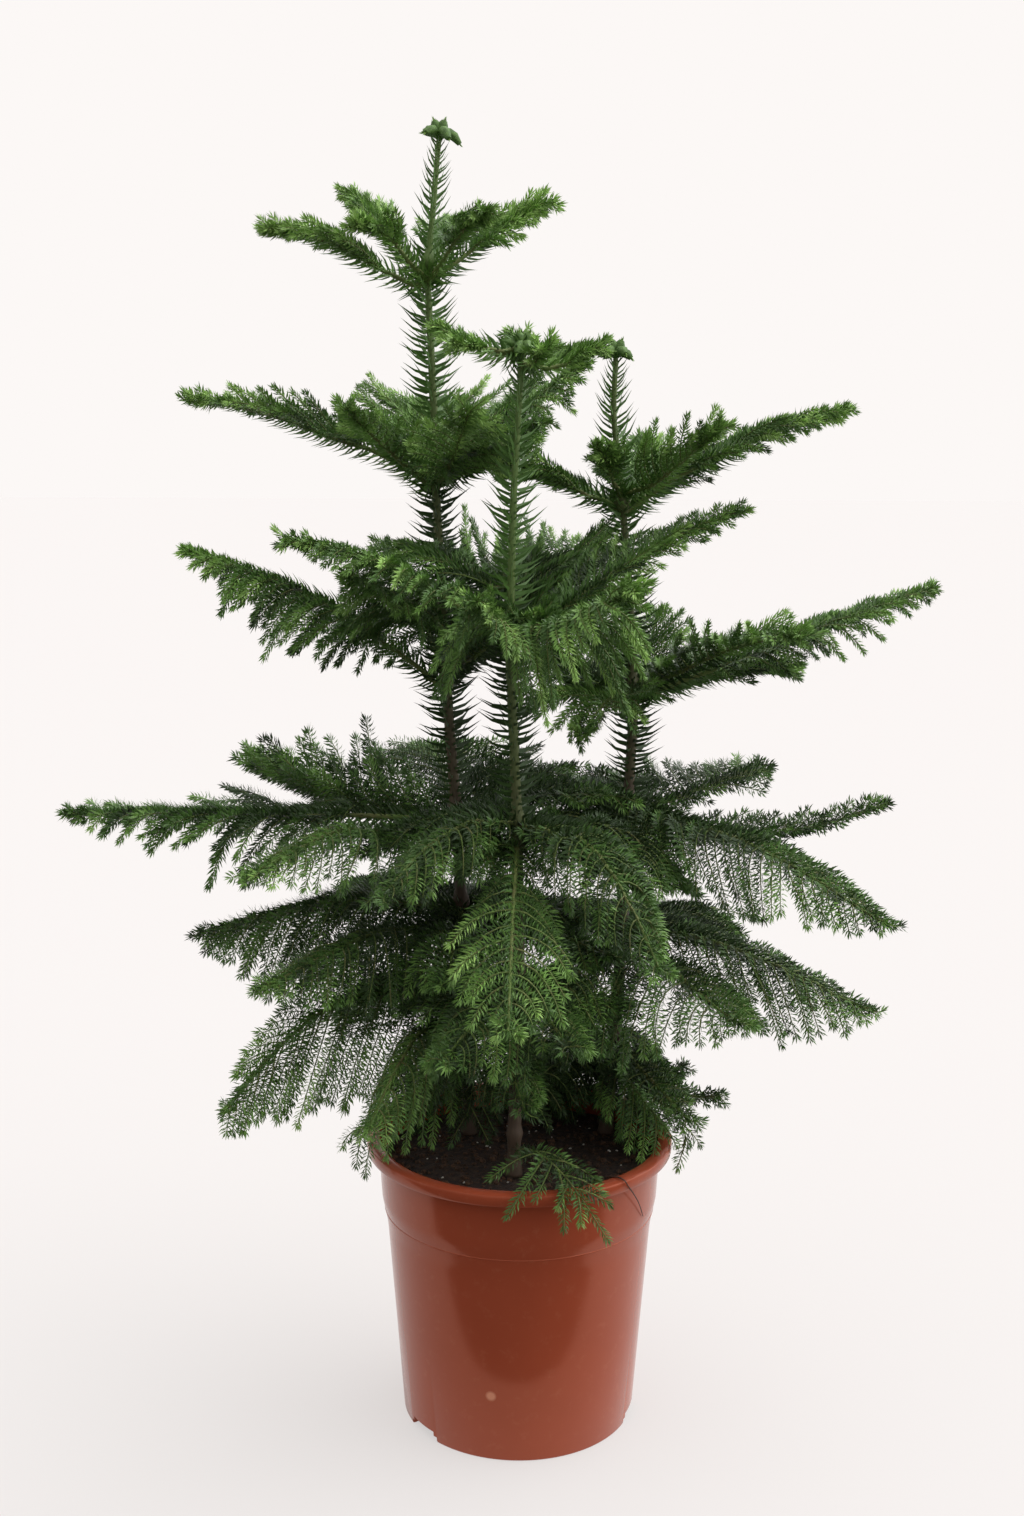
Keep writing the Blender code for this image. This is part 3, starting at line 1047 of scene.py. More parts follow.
# A bough's own axis tapers, and its needles are longest by the stem, where they stand out most.
LEADER_WOOD = ((0, 2.1 * MM), (0.5, 1.4 * MM), (1, 0.8 * MM))
LEADER_LEANS = ((0, 1.6), (0.5, 1.4), (0.8, 1.1), (1, 0.6))
ROOT_NEEDLE = 13 * MM
LIMB_NEEDLE = 11.5 * MM


@dataclass
class BoughGrowth:
    """The rule that every bough grows by."""

    form: BoughForm
    seed: int
    habit: Habit
    # The bough's tint score: higher gives lighter tints, as painted light, lower gives darker ones, as painted
    # shade.
    painted_light: float = 0.3

    def tint(self, dice: random.Random, outward: float) -> Tint:
        """Deals a spray its tint: fresher towards the bough's tip, and lighter or darker with the bough's
        painted light and shade.

        Args:
            dice: The bough's own random numbers.
            outward: The spray's place, from 0 at the stem to 1 at the tip.

        Returns:
            The tint.
        """
        score = self.painted_light + self.habit.lighter_tint + 0.36 * outward + dice.uniform(-0.2, 0.2)
        return next((tint for limit, tint in TINT_LIMITS if score < limit), Tint.FRESH)

    def twig_end(self, side: int, share: float, reach: float) -> Vector:
        """Where a side twig would end: on the edge of the foliage, or above or below a fan's middle.

        Args:
            side: 1 for left, -1 for right.
            share: Where the twig leaves the wood.
            reach: The bough's length.

        Returns:
            The point.
        """
        form, habit = self.form, self.habit
        ahead = share
        for _ in range(3):
            wide = (form.edge(side, ahead) - form.middle(ahead)).length
            ahead = share + wide / math.tan(math.radians(habit.twig_angle)) / reach
        if not habit.drop:
            return form.edge(side, ahead)
        height = habit.rise if side * form.across.y > 0 else -habit.drop
        breadth = max(0.25, math.sin(math.pi * min(1.0, 0.2 + 0.75 * ahead)))
        return form.middle(ahead) + UP * height * breadth + form.across * side * 10 * MM

    def side_twig(self, dice: random.Random, side: int, share: float, reach: float) -> Shoot:
        """Grows one side twig from the bough's wood to the edge of its foliage.

        Args:
            dice: The bough's own random numbers.
            side: 1 for left, -1 for right.
            share: Where the twig leaves the wood.
            reach: The bough's length.

        Returns:
            The twig.
        """
        form, habit = self.form, self.habit
        start = form.wood(share)
        forward = (form.wood(share + 0.02) - form.wood(share - 0.02)).normalized()
        span = self.twig_end(side, share, reach) - start
        length = span.length * habit.stretch * dice.uniform(0.84, 1.06) - 0.45 * habit.needle
        if length < habit.shortest:
            turn = math.radians(habit.twig_angle - 12)
            lift = dice.uniform(0.0, 0.9) if form.hang() < 0 else dice.uniform(-0.4, 0.1)
            span = forward * math.cos(turn) + form.across * side * math.sin(turn) + UP * lift
            length = habit.shortest * dice.uniform(0.85, 1.15) * (1 - 0.4 * share)
        way = Matrix.Rotation(dice.uniform(-0.14, 0.14), 3, "Z") @ span.normalized()
        end = start + way * length + UP * dice.uniform(-habit.scatter, habit.scatter) * length
        turn = math.radians(habit.leaving_angle + dice.uniform(-10, 10))
        leaving = forward * math.cos(turn) + form.across * side * math.sin(turn)
        middle = start + leaving * length * 0.5 + UP * (0.12 if way.z < 0 else 0.2) * length
        thick = TWIG_WOOD * min(1.0, 0.5 + 0.5 * length / STOUT_TWIG)
        needle = habit.needle * dice.uniform(0.92, 1.08)
        tint = self.tint(dice, share)
        tints = list(Tint)
        lighter_tint = tints[min(len(tints) - 1, tints.index(tint) + (dice.random() < 0.6))]
        return Shoot.along(
            habit.twig,
            bend_line(start, middle, end, 6 if length > LONG_TWIG else 4),
            ((0, thick), (1, TWIG_TIP)),
            ((0, 0.9 * needle), (0.6, needle), (1, 0.8 * needle)),
            ((0, habit.lean + 0.08), (0.75, habit.lean), (1, habit.tip_lean)),
            tint,
            lighter_tint,
        )

    def hand(self, dice: random.Random, leader: Shoot) -> list[Shoot]:
        """Grows the blunt, spreading end that young boughs have.

        Args:
            dice: The bough's own random numbers.
            leader: The bough's leader.

        Returns:
            Short twigs that leave the last part of the leader on all sides.
        """
        habit = self.habit
        tip = leader.points[-1]
        way = (tip - leader.points[-4]).normalized()
        shoots = []
        for i in range(habit.hand):
            back = blend_value(0.1, 1.2, i / max(1, habit.hand - 1)) * habit.hand_length
            turn = i * GOLDEN_ANGLE + dice.uniform(-0.4, 0.4)
            aside = self.form.across * math.cos(turn) + UP * math.sin(turn) * habit.hand_rise
            spread = dice.uniform(0.4, 0.85)
            length = habit.hand_length * dice.uniform(0.6, 0.9)
            start = tip - way * back
            end = start + (way * math.cos(spread) + aside * math.sin(spread)) * length + UP * 0.12 * length
            middle = start + way * length * 0.5
            needle = habit.needle * dice.uniform(0.85, 1.0)
            twig = Shoot.along(
                habit.twig,
                bend_line(start, middle, end, 4),
                ((0, 0.6 * MM), (1, TWIG_TIP)),
                ((0, needle), (1, 0.85 * needle)),
                ((0, habit.lean), (1, habit.tip_lean)),
                self.tint(dice, 0.75),
                self.tint(dice, 1.0),
            )
            shoots += [twig, self.tuft(twig)]
        return shoots

    def tuft(self, twig: Shoot) -> Shoot:
        """The blunt end of a twig: a short stub crowded with needles.

        Args:
            twig: The twig.

        Returns:
            The tuft, as fresh as the twig's tip.
        """
        end = twig.points[-1]
        way = (end - twig.points[-2]).normalized()
        needle = 0.72 * self.habit.needle
        return Shoot(
            Kind.TUFT,
            [end - way * 1.6 * MM, end, end + way * 0.5 * MM],
            [0.4 * MM] * 3,
            [needle, needle, 0.9 * needle],
            [1.2, 0.75, 0.2],
            twig.tip_tint or twig.tint,
        )

    def leader(self, dice: random.Random, stem: StemLine, limb: Sequence[Vector]) -> Shoot:
        """Grows the bough's own axis, from inside the stem to its tip.

        Args:
            dice: The bough's own random numbers.
            stem: The stem that carries the bough.
            limb: The points of its limb, from the stem outwards; none where it has no limb.

        Returns:
            The leader, with the longest needles nearest the stem.
        """
        form = self.form
        short = 0.6 * self.habit.needle + self.habit.hand_back * self.habit.hand_length
        last = 1 - short / form.reach()
        line = [form.wood(last * i / 14) for i in range(15)]
        if limb:
            gone = (limb[-1] - limb[0]).dot(form.out)
            line = [p for p in line if (p - limb[0]).dot(form.out) > gone + 6 * MM]
        start = limb[0] if limb else line[0]
        root = stem.middle(start.z - 1.5 * MM)
        length = self.habit.needle * dice.uniform(0.95, 1.05)
        needles = ((0, ROOT_NEEDLE), (self.habit.brush, LIMB_NEEDLE), (0.8, length), (1, 0.8 * length))
        tints = self.tint(dice, 0.1), self.tint(dice, 0.8)
        return Shoot.along(Kind.LEADER, [root, *limb, *line], LEADER_WOOD, needles, LEADER_LEANS, *tints)

    def grow(self, stem: StemLine, limb: Sequence[Vector]) -> list[Shoot]:
        """Grows the whole bough.

        Args:
            stem: The stem that carries it.
            limb: The points of its limb, from the stem outwards; none where it has no limb.

        Returns:
            The bough's leader first, and then its side twigs.
        """
        dice = random.Random(self.seed)
        reach = self.form.reach()
        leader = self.leader(dice, stem, limb)
        shoots = [leader, self.tuft(leader), *self.hand(dice, leader)]
        away = (self.form.middle(0) - stem.middle(self.form.middle(0).z)).length
        share = max(0.0, self.habit.bare - away) / reach
        while share < 0.96:
            for side in (1, -1):
                offset = dice.uniform(-0.2, 0.2) * self.habit.twig_gap / reach
                twig = self.side_twig(dice, side, share + offset, reach)
                shoots += [twig, self.tuft(twig)]
            share += self.habit.twig_gap * dice.uniform(0.88, 1.12) / reach
        return shoots


Line = tuple[Sequence[Vector], Sequence[float], Sequence[float]]


def curve_host(name: str, lines: Iterable[Line]) -> Object:
    """Makes a curve object of open lines.

    Args:
        name: The object's name.
        lines: The points, radii and tilts of each line.

    Returns:
        The curve object, linked into the scene.
    """
    data = bpy.data.curves.new(name, "CURVE")
    data.dimensions = "3D"
    for points, radii, tilts in lines:
        spline = data.splines.new("POLY")
        spline.points.add(len(points) - 1)
        spline.points.foreach_set("co", [c for p in points for c in (p.x, p.y, p.z, 1.0)])
        spline.points.foreach_set("radius", list(radii))
        spline.points.foreach_set("tilt", list(tilts))
    host = bpy.data.objects.new(name, data)
    bpy.context.scene.collection.objects.link(host)
    return host


@dataclass
class Crown:
    """All shoots of the plant, gathered by stem."""

    needle_trees: dict[Kind, GeometryNodeTree]
    wood_tree: GeometryNodeTree
    low: Vector
    high: Vector
    lean_spread: float = 0.16
    side_room: float = 1.2
    top_room: float = 0.9
    shoots: dict[str, list[Shoot]] = field(default_factory=dict)

    def add(self, stem: str, shoots: Iterable[Shoot]) -> None:
        """Adds shoots to a stem's share of the crown, and keeps their needles inside the plant's box.

        Args:
            stem: The stem's name.
            shoots: The shoots, whose points move inwards where they have to.
        """
        for shoot in shoots:
            for point, needle in zip(shoot.points, shoot.needles):
                room = self.side_room * needle
                point.x = min(max(point.x, self.low.x + room), self.high.x - room)
                point.y = min(max(point.y, self.low.y + room), self.high.y - room)
                point.z = min(point.z, self.high.z - self.top_room * needle)
            self.shoots.setdefault(stem, []).append(shoot)

    def wood(self, stem: str, kind: Kind, sides: int, material: Material) -> Object:
        """Makes the wood of one kind of shoot on a stem.

        Args:
            stem: The stem's name.
            kind: The kind of shoot.
            sides: How many sides the wood has.
            material: The twigs' finish.

        Returns:
            One mesh object.
        """
        found = [shoot for shoot in self.shoots[stem] if shoot.kind is kind]
        host = curve_host("wood_lines", [(s.points, s.wood, [0.0] * len(s.points)) for s in found])
        return run_tree(host, self.wood_tree, {"Sides": sides}, material, f"{kind.name.lower()}_wood_{stem}")

    def needles(self, stem: str, kind: Kind, tint: Tint, coat: Material, seed: int) -> Optional[Object]:
        """Makes the needles of one tint on one kind of shoot of a stem.

        Args:
            stem: The stem's name.
            kind: The kind of shoot.
            tint: The tint.
            coat: The needles' finish.
            seed: The seed of their unevenness.

        Returns:
            One mesh object, or nothing where no shoot has the tint.
        """
        lines = [run for shoot in self.shoots[stem] if shoot.kind is kind for run in shoot.runs(tint)]
        if not lines:
            return None
        tree = self.needle_trees[kind]
        values = {"Spacing": kind.value, "Lean Spread": self.lean_spread, "Seed": seed}
        name = f"{kind.name.lower()}_needles_{stem}_{tint.name.lower()}"
        return run_tree(curve_host("needle_lines", lines), tree, values, coat, name)


@dataclass
class StemWood:
    """One stem as a mesh with real relief: whorl collars, leaf scars and long ridges."""

    line: StemLine
    whorls: Sequence[float]
    sides: int = 20
    step: float = 2.4 * MM
    top_gap: float = 8 * MM
    slimmer: float = 0.94
    ridges: float = 2.2
    ridge_length: float = 9 * MM
    ridge_height: float = 0.22 * MM
    scars: float = 4.0
    scar_length: float = 1.9 * MM
    scar_height: float = 0.28 * MM
    collar_width: float = 4 * MM
    collar_height: float = 1.3 * MM

    def radius(self, height: float, turn: float) -> float:
        """The radius at a height and a turn about the stem, with its relief.

        Args:
            height: The height.
            turn: The angle about the stem.

        Returns:
            The radius.
        """
        relief = self.collar_height * sum(
            math.exp(-(((height - whorl) / self.collar_width) ** 2)) for whorl in self.whorls
        )
        for around, length, depth in (
            (self.ridges, self.ridge_length, self.ridge_height),
            (self.scars, self.scar_length, self.scar_height),
        ):
            here = Vector((math.cos(turn) * around, math.sin(turn) * around, height / length))
            relief += noise.noise(here) * depth
        return self.line.radius(height) * self.slimmer + relief

    def build(self, name: str, material: Material) -> Object:
        """Makes the stem.

        Args:
            name: The object's name.
            material: Its bark.

        Returns:
            The object.
        """
        low, high = self.line.heights[0], self.line.heights[-1] - self.top_gap
        count = round((high - low) / self.step)
        turns = [2 * math.pi * k / self.sides for k in range(self.sides)]
        rings = []
        for i in range(count + 1):
            height = blend_value(low, high, i / count)
            middle = self.line.middle(height)
            rings.append([middle + heading(turn) * self.radius(height, turn) for turn in turns])
        return link_mesh(name, ring_skin(rings, name), material)


@dataclass
class Whorl:
    """The boughs that leave a stem at one height, and the younger ones that fill the gaps between them."""

    forms: Sequence[BoughForm]
    stem: StemLine
    seed: int
    widest_gap: float = 78.0
    usual_gap: float = 58.0
    reach_share: float = 0.78
    longest: float = 125 * MM
    half_width: float = 34 * MM
    widest: float = 0.36
    stations: int = 17
    back_only: bool = False

    def missing(self) -> list[BoughForm]:
        """Draws a form for each younger bough.

        Returns:
            The forms, none where the whorl is full.
        """
        dice = random.Random(self.seed)
        taken = sorted(math.degrees(math.atan2(f.out.y, f.out.x)) % 360 for f in self.forms)
        usual = 0.7 * self.usual_gap if self.back_only else self.usual_gap
        found = []
        for here, there in zip(taken, taken[1:] + [taken[0] + 360]):
            gap = there - here
            if gap < self.widest_gap:
                continue
            count = max(1, round(gap / usual) - 1)
            for i in range(count):
                bearing = here + gap * (i + 1) / (count + 1) + dice.uniform(-7, 7)
                if self.back_only and math.sin(math.radians(bearing)) < 0.1:
                    continue
                found.append(self.draw(dice, bearing, len(found)))
        return found

    def draw(self, dice: random.Random, bearing: float, number: int) -> BoughForm:
        """Draws one younger bough like its neighbours, only shorter.

        Args:
            dice: The whorl's own random numbers.
            bearing: The way it points, in degrees.
            number: Its number in the whorl.

        Returns:
            The form.
        """
        form = BoughForm(f"filler_{number}")
        form.out = heading(math.radians(bearing))
        form.across = UP.cross(form.out)
        like = max(self.forms, key=lambda f: f.out.dot(form.out))
        reach = min(self.longest, like.reach() * self.reach_share * dice.uniform(0.85, 1.1))
        root = self.stem.middle(like.middle(0).z + dice.uniform(-2, 2) * MM)
        half_width = min(self.half_width, reach * 0.42)
        for i in range(self.stations):
            share = i / (self.stations - 1)
            centre = like.middle(share).z
            rise = centre - like.middle(0).z
            drop = 0.5 * (like.edge(1, share).z + like.edge(-1, share).z) - centre
            swell = math.sin(math.pi / 2 * min(1, share / self.widest))
            taper = math.cos(math.pi / 2 * max(0, (share - self.widest) / (1 - self.widest)))
            breadth = swell**0.8 * taper**0.8
            middle = root + form.out * (2.5 * MM + reach * share) + UP * rise * reach / like.reach()
            aside = form.across * half_width * breadth
            hang = UP * drop * 0.8
            form.spine.append(middle)
            form.half_depth.append(8 * MM * breadth)
            form.left_edge.append(middle + aside + hang)
            form.right_edge.append(middle - aside + hang)
        form.attach = form.spine[0]
        return form


Place = tuple[float, float, float]


def in_metres(place: Place) -> Vector:
    """A place or a span that is given in millimetres."""
    return Vector([value / 1000 for value in place])


@dataclass(frozen=True)
class LowBough:
    """A low bough over the pot, whose side twigs hang from its axis like the teeth of a comb.

    Its places are in millimetres. A bough has rows of teeth that all hang alike, or twigs with an
    end each, and those leave its axis at the share that stands before the end.
    """

    stem: str
    root: Place
    bend: Place
    tip: Place
    hangs: tuple[Place, ...] = ()
    teeth: int = 0
    # The bough's tint score: mostly low, for dark tints as painted shade under the crown, higher on the few
    # boughs seen in front.
    painted_light: float = -0.3
    twigs: tuple[tuple[float, Place], ...] = ()
    needle: float = 6.6 * MM
    axis_wood: float = 0.9 * MM
    twig_wood: float = 0.7 * MM

    def grow(self, seed: int) -> list[Shoot]:
        """Grows the bough.

        Args:
            seed: The seed of its unevenness.

        Returns:
            Its axis and its side twigs.
        """
        dice = random.Random(seed)
        growth = BoughGrowth(BoughForm("low"), seed, replace(FAN, needle=self.needle), self.painted_light)
        axis = bend_line(in_metres(self.root), in_metres(self.bend), in_metres(self.tip), 14)
        leader = self.shoot(growth, dice, axis, self.axis_wood)
        shoots = [leader, growth.tuft(leader)]
        ends = [(share, in_metres(end)) for share, end in self.twigs]
        for side, hang in enumerate(self.hangs):
            for i in range(self.teeth):
                share = min(0.97, (i + 0.9 + 0.4 * side) / (self.teeth + 0.5))
                start, along = self.station(axis, share)
                breadth = 0.5 + 0.5 * math.sin(math.pi * min(1.0, 0.2 + 0.72 * share))
                fall = in_metres(hang) * breadth * dice.uniform(0.86, 1.1)
                ends.append((share, start + fall + along * fall.length * dice.uniform(0.2, 0.45)))
        for share, end in ends:
            start, along = self.station(axis, share)
            length = (end - start).length
            middle = start.lerp(end, 0.45) + along * 0.15 * length + UP * 0.24 * length
            twig = self.shoot(growth, dice, bend_line(start, middle, end, 7), self.twig_wood)
            shoots += [twig, growth.tuft(twig)]
        return shoots

    def station(self, axis: Sequence[Vector], share: float) -> tuple[Vector, Vector]:
        """The point at this share of the axis, and the way the axis runs there."""
        place = share * (len(axis) - 1)
        first = min(int(place), len(axis) - 2)
        return axis[first].lerp(axis[first + 1], place - first), (axis[first + 1] - axis[first]).normalized()

    def shoot(self, growth: BoughGrowth, dice: random.Random, line: list[Vector], thick: float) -> Shoot:
        """Clothes a line with needles.

        Args:
            growth: The rule that deals the tints.
            dice: The bough's own random numbers.
            line: The line, from its root to its tip.
            thick: The wood's radius at its root.

        Returns:
            The shoot.
        """
        needle = self.needle * dice.uniform(0.92, 1.08)
        return Shoot.along(
            Kind.FEATHER,
            line,
            ((0, thick), (1, TWIG_TIP)),
            ((0.7, needle), (1, 0.8 * needle)),
            ((0, 1.35), (0.8, 1.2), (1, 0.8)),
            growth.tint(dice, 0.4),
            growth.tint(dice, 1.0),
        )


SPRIG = LowBough(
    "front",
    (-4.3, -33, 197),
    (16, -92, 236),
    (54.5, -119, 176),
    painted_light=0.06,
    twigs=(
        (0.34, (-19, -90, 203.5)), (0.42, (-7.5, -115, 189.3)), (0.56, (27.5, -118, 182.2)),
        (0.30, (34, -62, 199)), (0.45, (49.5, -85, 200)), (0.62, (52, -96, 197)),
        (0.66, (24, -112, 194)), (0.74, (38, -119, 186)), (0.50, (10, -110, 199)),
        (0.72, (56, -107, 194)),
    ),
    needle=6.8 * MM,
)
# Stem, root, bend, tip, how far the twigs of the two rows hang, how many each row has, and painted light: low
# for painted shade.
LOW_BOUGH_ROWS = (
    ("tall", (-35, 62, 218), (-48, -35, 258), (-107.5, -50, 218.5), ((-3, -14, -36), (-12, 22, -22)), 8, 0.22),
    ("right", (66.5, 90, 232), (58, 10, 252), (97, -26, 213.5), ((-10, -24, -30), (12, 6, -22)), 8, 0.16),
    ("right", (66.5, 90, 224), (88, 55, 252), (101, 6, 214.5), ((-14, -18, -32), (10, 4, -22)), 9, -0.1),
    ("right", (66.5, 90, 214), (60, 45, 246), (85, 10, 208), ((-10, -20, -26), (14, 6, -22)), 8, -0.2),
    ("right", (66.5, 93, 216), (90, 80, 244), (106, 40, 214), ((-16, -10, -30), (8, 6, -20)), 8, -0.3),
    ("tall", (-34, 66, 212), (-50, 75, 244), (-88, 48, 212), ((4, -14, -30), (-4, 14, -22)), 8, -0.3),
    ("right", (66.5, 90, 240), (95, 45, 262), (116.5, -4, 190.5), ((16, -6, -14), (-12, -10, -18)), 6, 0.05),
    ("tall", (-34, 66, 220), (-60, 82, 246), (-100, 58, 212), ((2, -14, -36), (-4, 14, -22)), 9, -0.3),
    ("tall", (-34, 66, 222), (-16, 92, 250), (34, 92, 222), ((2, -12, -42), (2, 16, -26)), 9, -0.3),
    ("tall", (-34, 66, 236), (-58, 100, 262), (-62, 132, 222), ((20, 0, -30), (-20, 0, -26)), 7, -0.3),
    ("right", (66.5, 93, 226), (45, 96, 252), (0, 88, 218), ((-2, -12, -42), (-2, 16, -26)), 9, -0.3),
    ("right", (66.5, 93, 232), (85, 100, 256), (110, 60, 216), ((0, -14, -34), (6, 14, -22)), 7, -0.3),
    ("right", (66.5, 93, 240), (60, 125, 266), (52, 150, 226), ((20, 0, -30), (-20, 0, -26)), 7, -0.3),
    ("right", (66.5, 93, 214), (40, 94, 234), (10, 70, 204), ((-4, -12, -24), (-2, 14, -22)), 8, -0.3),
    ("tall", (-34, 66, 210), (-4, 80, 232), (30, 62, 204), ((4, -12, -22), (2, 14, -22)), 8, -0.3),
    ("right", (66.5, 93, 222), (52, 86, 238), (32, 62, 200), ((10, -14, -22), (-14, 10, -22)), 9, -0.3),
    ("tall", (-34, 66, 214), (-52, 72, 230), (-78, 48, 196), ((2, -16, -20), (-6, 14, -20)), 9, -0.3),
    ("front", (-4.3, -28, 224), (30, 30, 262), (62, 62, 216), ((15, -12, -26), (-15, 12, -28)), 9, -0.3),
    ("tall", (-34, 66, 228), (-26, 30, 254), (-36, 8, 206), ((18, -4, -26), (-18, 4, -26)), 7, -0.3),
    ("front", (-4.3, -28, 226), (-4, 20, 262), (22, 52, 238), ((22, -8, -22), (-22, 8, -22)), 7, -0.3),
)
LOW_BOUGHS = tuple(LowBough(*row) for row in LOW_BOUGH_ROWS)


@dataclass
class StemTop:
    """A stem's own needles, and the cluster of buds that ends it."""

    line: StemLine
    seed: int
    needle: float = 15.5 * MM
    lowest_needle: float = 0.4
    buds: int = 6
    bud_length: float = 12 * MM
    upright_bud: float = 10.4 * MM
    bud_drop: float = 13 * MM
    bud_needle: float = 4.4 * MM

    def grow(self) -> list[Shoot]:
        """Grows the needles of the stem and its buds.

        Returns:
            The shoots; the stem's own wood is made apart.
        """
        dice = random.Random(self.seed)
        top = self.line.heights[-1]
        count = 61
        highest = top - self.bud_drop - 3 * MM
        levels = [blend_value(self.lowest_needle, highest, i / (count - 1)) for i in range(count)]
        shares = ramp_values(((0, 0.6), (0.16, 1.0), (0.8, 1.0), (1, 0.5)), count)
        lengths = [self.needle * share + self.line.radius(z) for share, z in zip(shares, levels)]
        leans = ramp_values(((0, 1.95), (0.7, 1.8), (1, 1.3)), count)
        points = [self.line.middle(z) for z in levels]
        shoots = [Shoot(Kind.STEM, points, [0.0] * count, lengths, leans, Tint.SHADED, Tint.MATURE)]
        crown = self.line.middle(top - self.bud_drop)
        for i in range(self.buds):
            turn = 2 * math.pi * i / self.buds + dice.uniform(-0.25, 0.25)
            length = self.bud_length * dice.uniform(0.85, 1.15)
            shoots.append(self.bud(crown, heading(turn), length, dice.uniform(-0.35, 0.35)))
        for lean in (-0.3, 0.35):
            shoots.append(self.bud(crown, Vector((lean, -0.2, 0)), self.upright_bud, 0.95))
        return shoots

    def bud(self, crown: Vector, out: Vector, length: float, lift: float) -> Shoot:
        """One short, thick shoot of the cluster.

        Args:
            crown: The point that the buds share.
            out: The way the bud points.
            length: Its length.
            lift: How far its tip rises, as a share of its length.

        Returns:
            The shoot.
        """
        middle = crown + out * length * 0.5 + UP * length * 0.5
        end = crown + out * length + UP * length * lift
        return Shoot.along(
            Kind.BUD,
            bend_line(crown, middle, end, 5),
            ((0, 2.4 * MM), (0.5, 3.5 * MM), (0.8, 3.3 * MM), (1, 1.8 * MM)),
            ((0.6, self.bud_needle), (1, 0.7 * self.bud_needle)),
            ((0, 0.8), (0.7, 0.65), (1, 0.15)),
            Tint.SUMMER,
            Tint.FRESH,
        )


# --------------------------------------------------------------------------------------
# The pot and its soil
# --------------------------------------------------------------------------------------


@dataclass
class Pot:
    """The thin-walled nursery pot, with its rolled rim, its step and its drain slots."""

    height: float = 0.198
    rim: float = 0.105
    band: float = 0.0085
    foot: float = 0.0803
    lower_top: float = 0.0909
    upper_low: float = 0.0946
    upper_top: float = 0.0966
    step_low: float = 0.1416
    step_high: float = 0.1506
    bead: float = 0.0003
    wall: float = 0.0022
    floor: float = 0.003
    turns: int = 160
    sharp_angle: float = 32.0
    drain_headings: tuple[float, ...] = (100, 216, 345)
    drain_width: float = 0.030
    drain_height: float = 0.007
    drain_depth: float = 0.016
    drain_reach: float = 0.004
    drain_round: float = 0.003

    def profile(self) -> list[tuple[float, float]]:
        """The outline from the middle of the underside, round the rim, to the inside floor.

        Returns:
            Its (radius, height) points.
        """
        under = self.height - self.band
        crown = self.height
        low, high = self.step_low - 0.0046, self.step_high + 0.0070
        line = blend_value(low, high, 0.55)
        radius = blend_value(self.lower_top, self.upper_low, 0.52)
        step = [
            (self.lower_top - 0.0003, low - 0.0030),
            (self.lower_top, low),
            (blend_value(self.lower_top, radius, 0.24), blend_value(low, line, 0.30)),
            (radius - 0.0002, line - 0.0010),
            (radius - 0.0001, line - 0.0004),
            (radius + self.bead, line - 0.0001),
            (radius + self.bead, line + 0.0002),
            (radius + 0.0001, line + 0.0005),
            (radius + 0.0003, line + 0.0012),
            (blend_value(radius, self.upper_low, 0.78), blend_value(line, high, 0.70)),
            (self.upper_low + 0.0001, high),
            (self.upper_low + 0.0003, high + 0.0030),
        ]
        outside = [
            (0.0, 0.0),
            (self.foot - 0.0016, 0.0),
            (self.foot - 0.0005, 0.0005),
            (self.foot, 0.0016),
            (blend_value(self.foot, self.lower_top, 0.5), self.step_low * 0.5),
            *step,
            (self.upper_top, under - 0.0006),
            (self.upper_top + 0.0010, under),
            (self.rim - 0.0022, under),
            (self.rim - 0.0009, under + 0.0004),
            (self.rim - 0.0003, under + 0.0016),
            (self.rim, crown - 0.0022),
            (self.rim - 0.0006, crown - 0.0008),
            (self.rim - 0.0019, crown),
        ]
        inside = [
            (self.upper_top + 0.0006, crown),
            (self.upper_top - 0.0012, crown - 0.0007),
            (self.upper_top - self.wall, crown - 0.003),
            (self.upper_low - self.wall, self.step_high),
            (self.lower_top - self.wall, self.step_low),
            (self.foot - self.wall, self.floor),
            (0.0, self.floor),
        ]
        return outside + inside

    def build(self, material: Material) -> Object:
        """Makes the pot and cuts its drain slots.

        Args:
            material: The plastic.

        Returns:
            The object.
        """
        pot = link_mesh("nursery_pot", lathe(self.profile(), self.turns, "nursery_pot"), material)
        cutters = [self.drain_cutter(math.radians(degrees)) for degrees in self.drain_headings]
        for number, cutter in enumerate(cutters):
            cut = pot.modifiers.new(f"drain_{number}", "BOOLEAN")
            cut.operation = "DIFFERENCE"
            cut.object = cutter
        graph = bpy.context.evaluated_depsgraph_get()
        mesh = bpy.data.meshes.new_from_object(pot.evaluated_get(graph), depsgraph=graph)
        pot.modifiers.clear()
        pot.data = mesh
        mesh.shade_smooth()
        mesh.set_sharp_from_angle(angle=math.radians(self.sharp_angle))
        for cutter in cutters:
            bpy.data.objects.remove(cutter)
        return pot

    def drain_cutter(self, turn: float) -> Object:
        """A rounded block through the corner of wall and floor, where water leaves.

        Args:
            turn: Its place round the pot, in radians.

        Returns:
            The cutter.
        """
        shape = bmesh.new()
        bmesh.ops.create_cube(shape, size=1.0)
        sizes = Matrix.Diagonal((self.drain_depth, self.drain_width, 2 * self.drain_height, 1.0))
        bmesh.ops.transform(shape, matrix=sizes, verts=shape.verts)
        spans = {edge: edge.verts[0].co - edge.verts[1].co for edge in shape.edges}
        radial = [edge for edge, span in spans.items() if abs(span.y) < 1e-6 and abs(span.z) < 1e-6]
        bmesh.ops.bevel(shape, geom=radial, offset=self.drain_round, segments=4, affect="EDGES")
        middle = self.foot + self.drain_reach - self.drain_depth / 2
        place = Matrix.Translation(heading(turn) * middle) @ Matrix.Rotation(turn, 4, "Z")
        bmesh.ops.transform(shape, matrix=place, verts=shape.verts)
        bmesh.ops.recalc_face_normals(shape, faces=shape.faces)
        return link_mesh("drain_cutter", mesh_of("drain_cutter", shape, smooth=False))


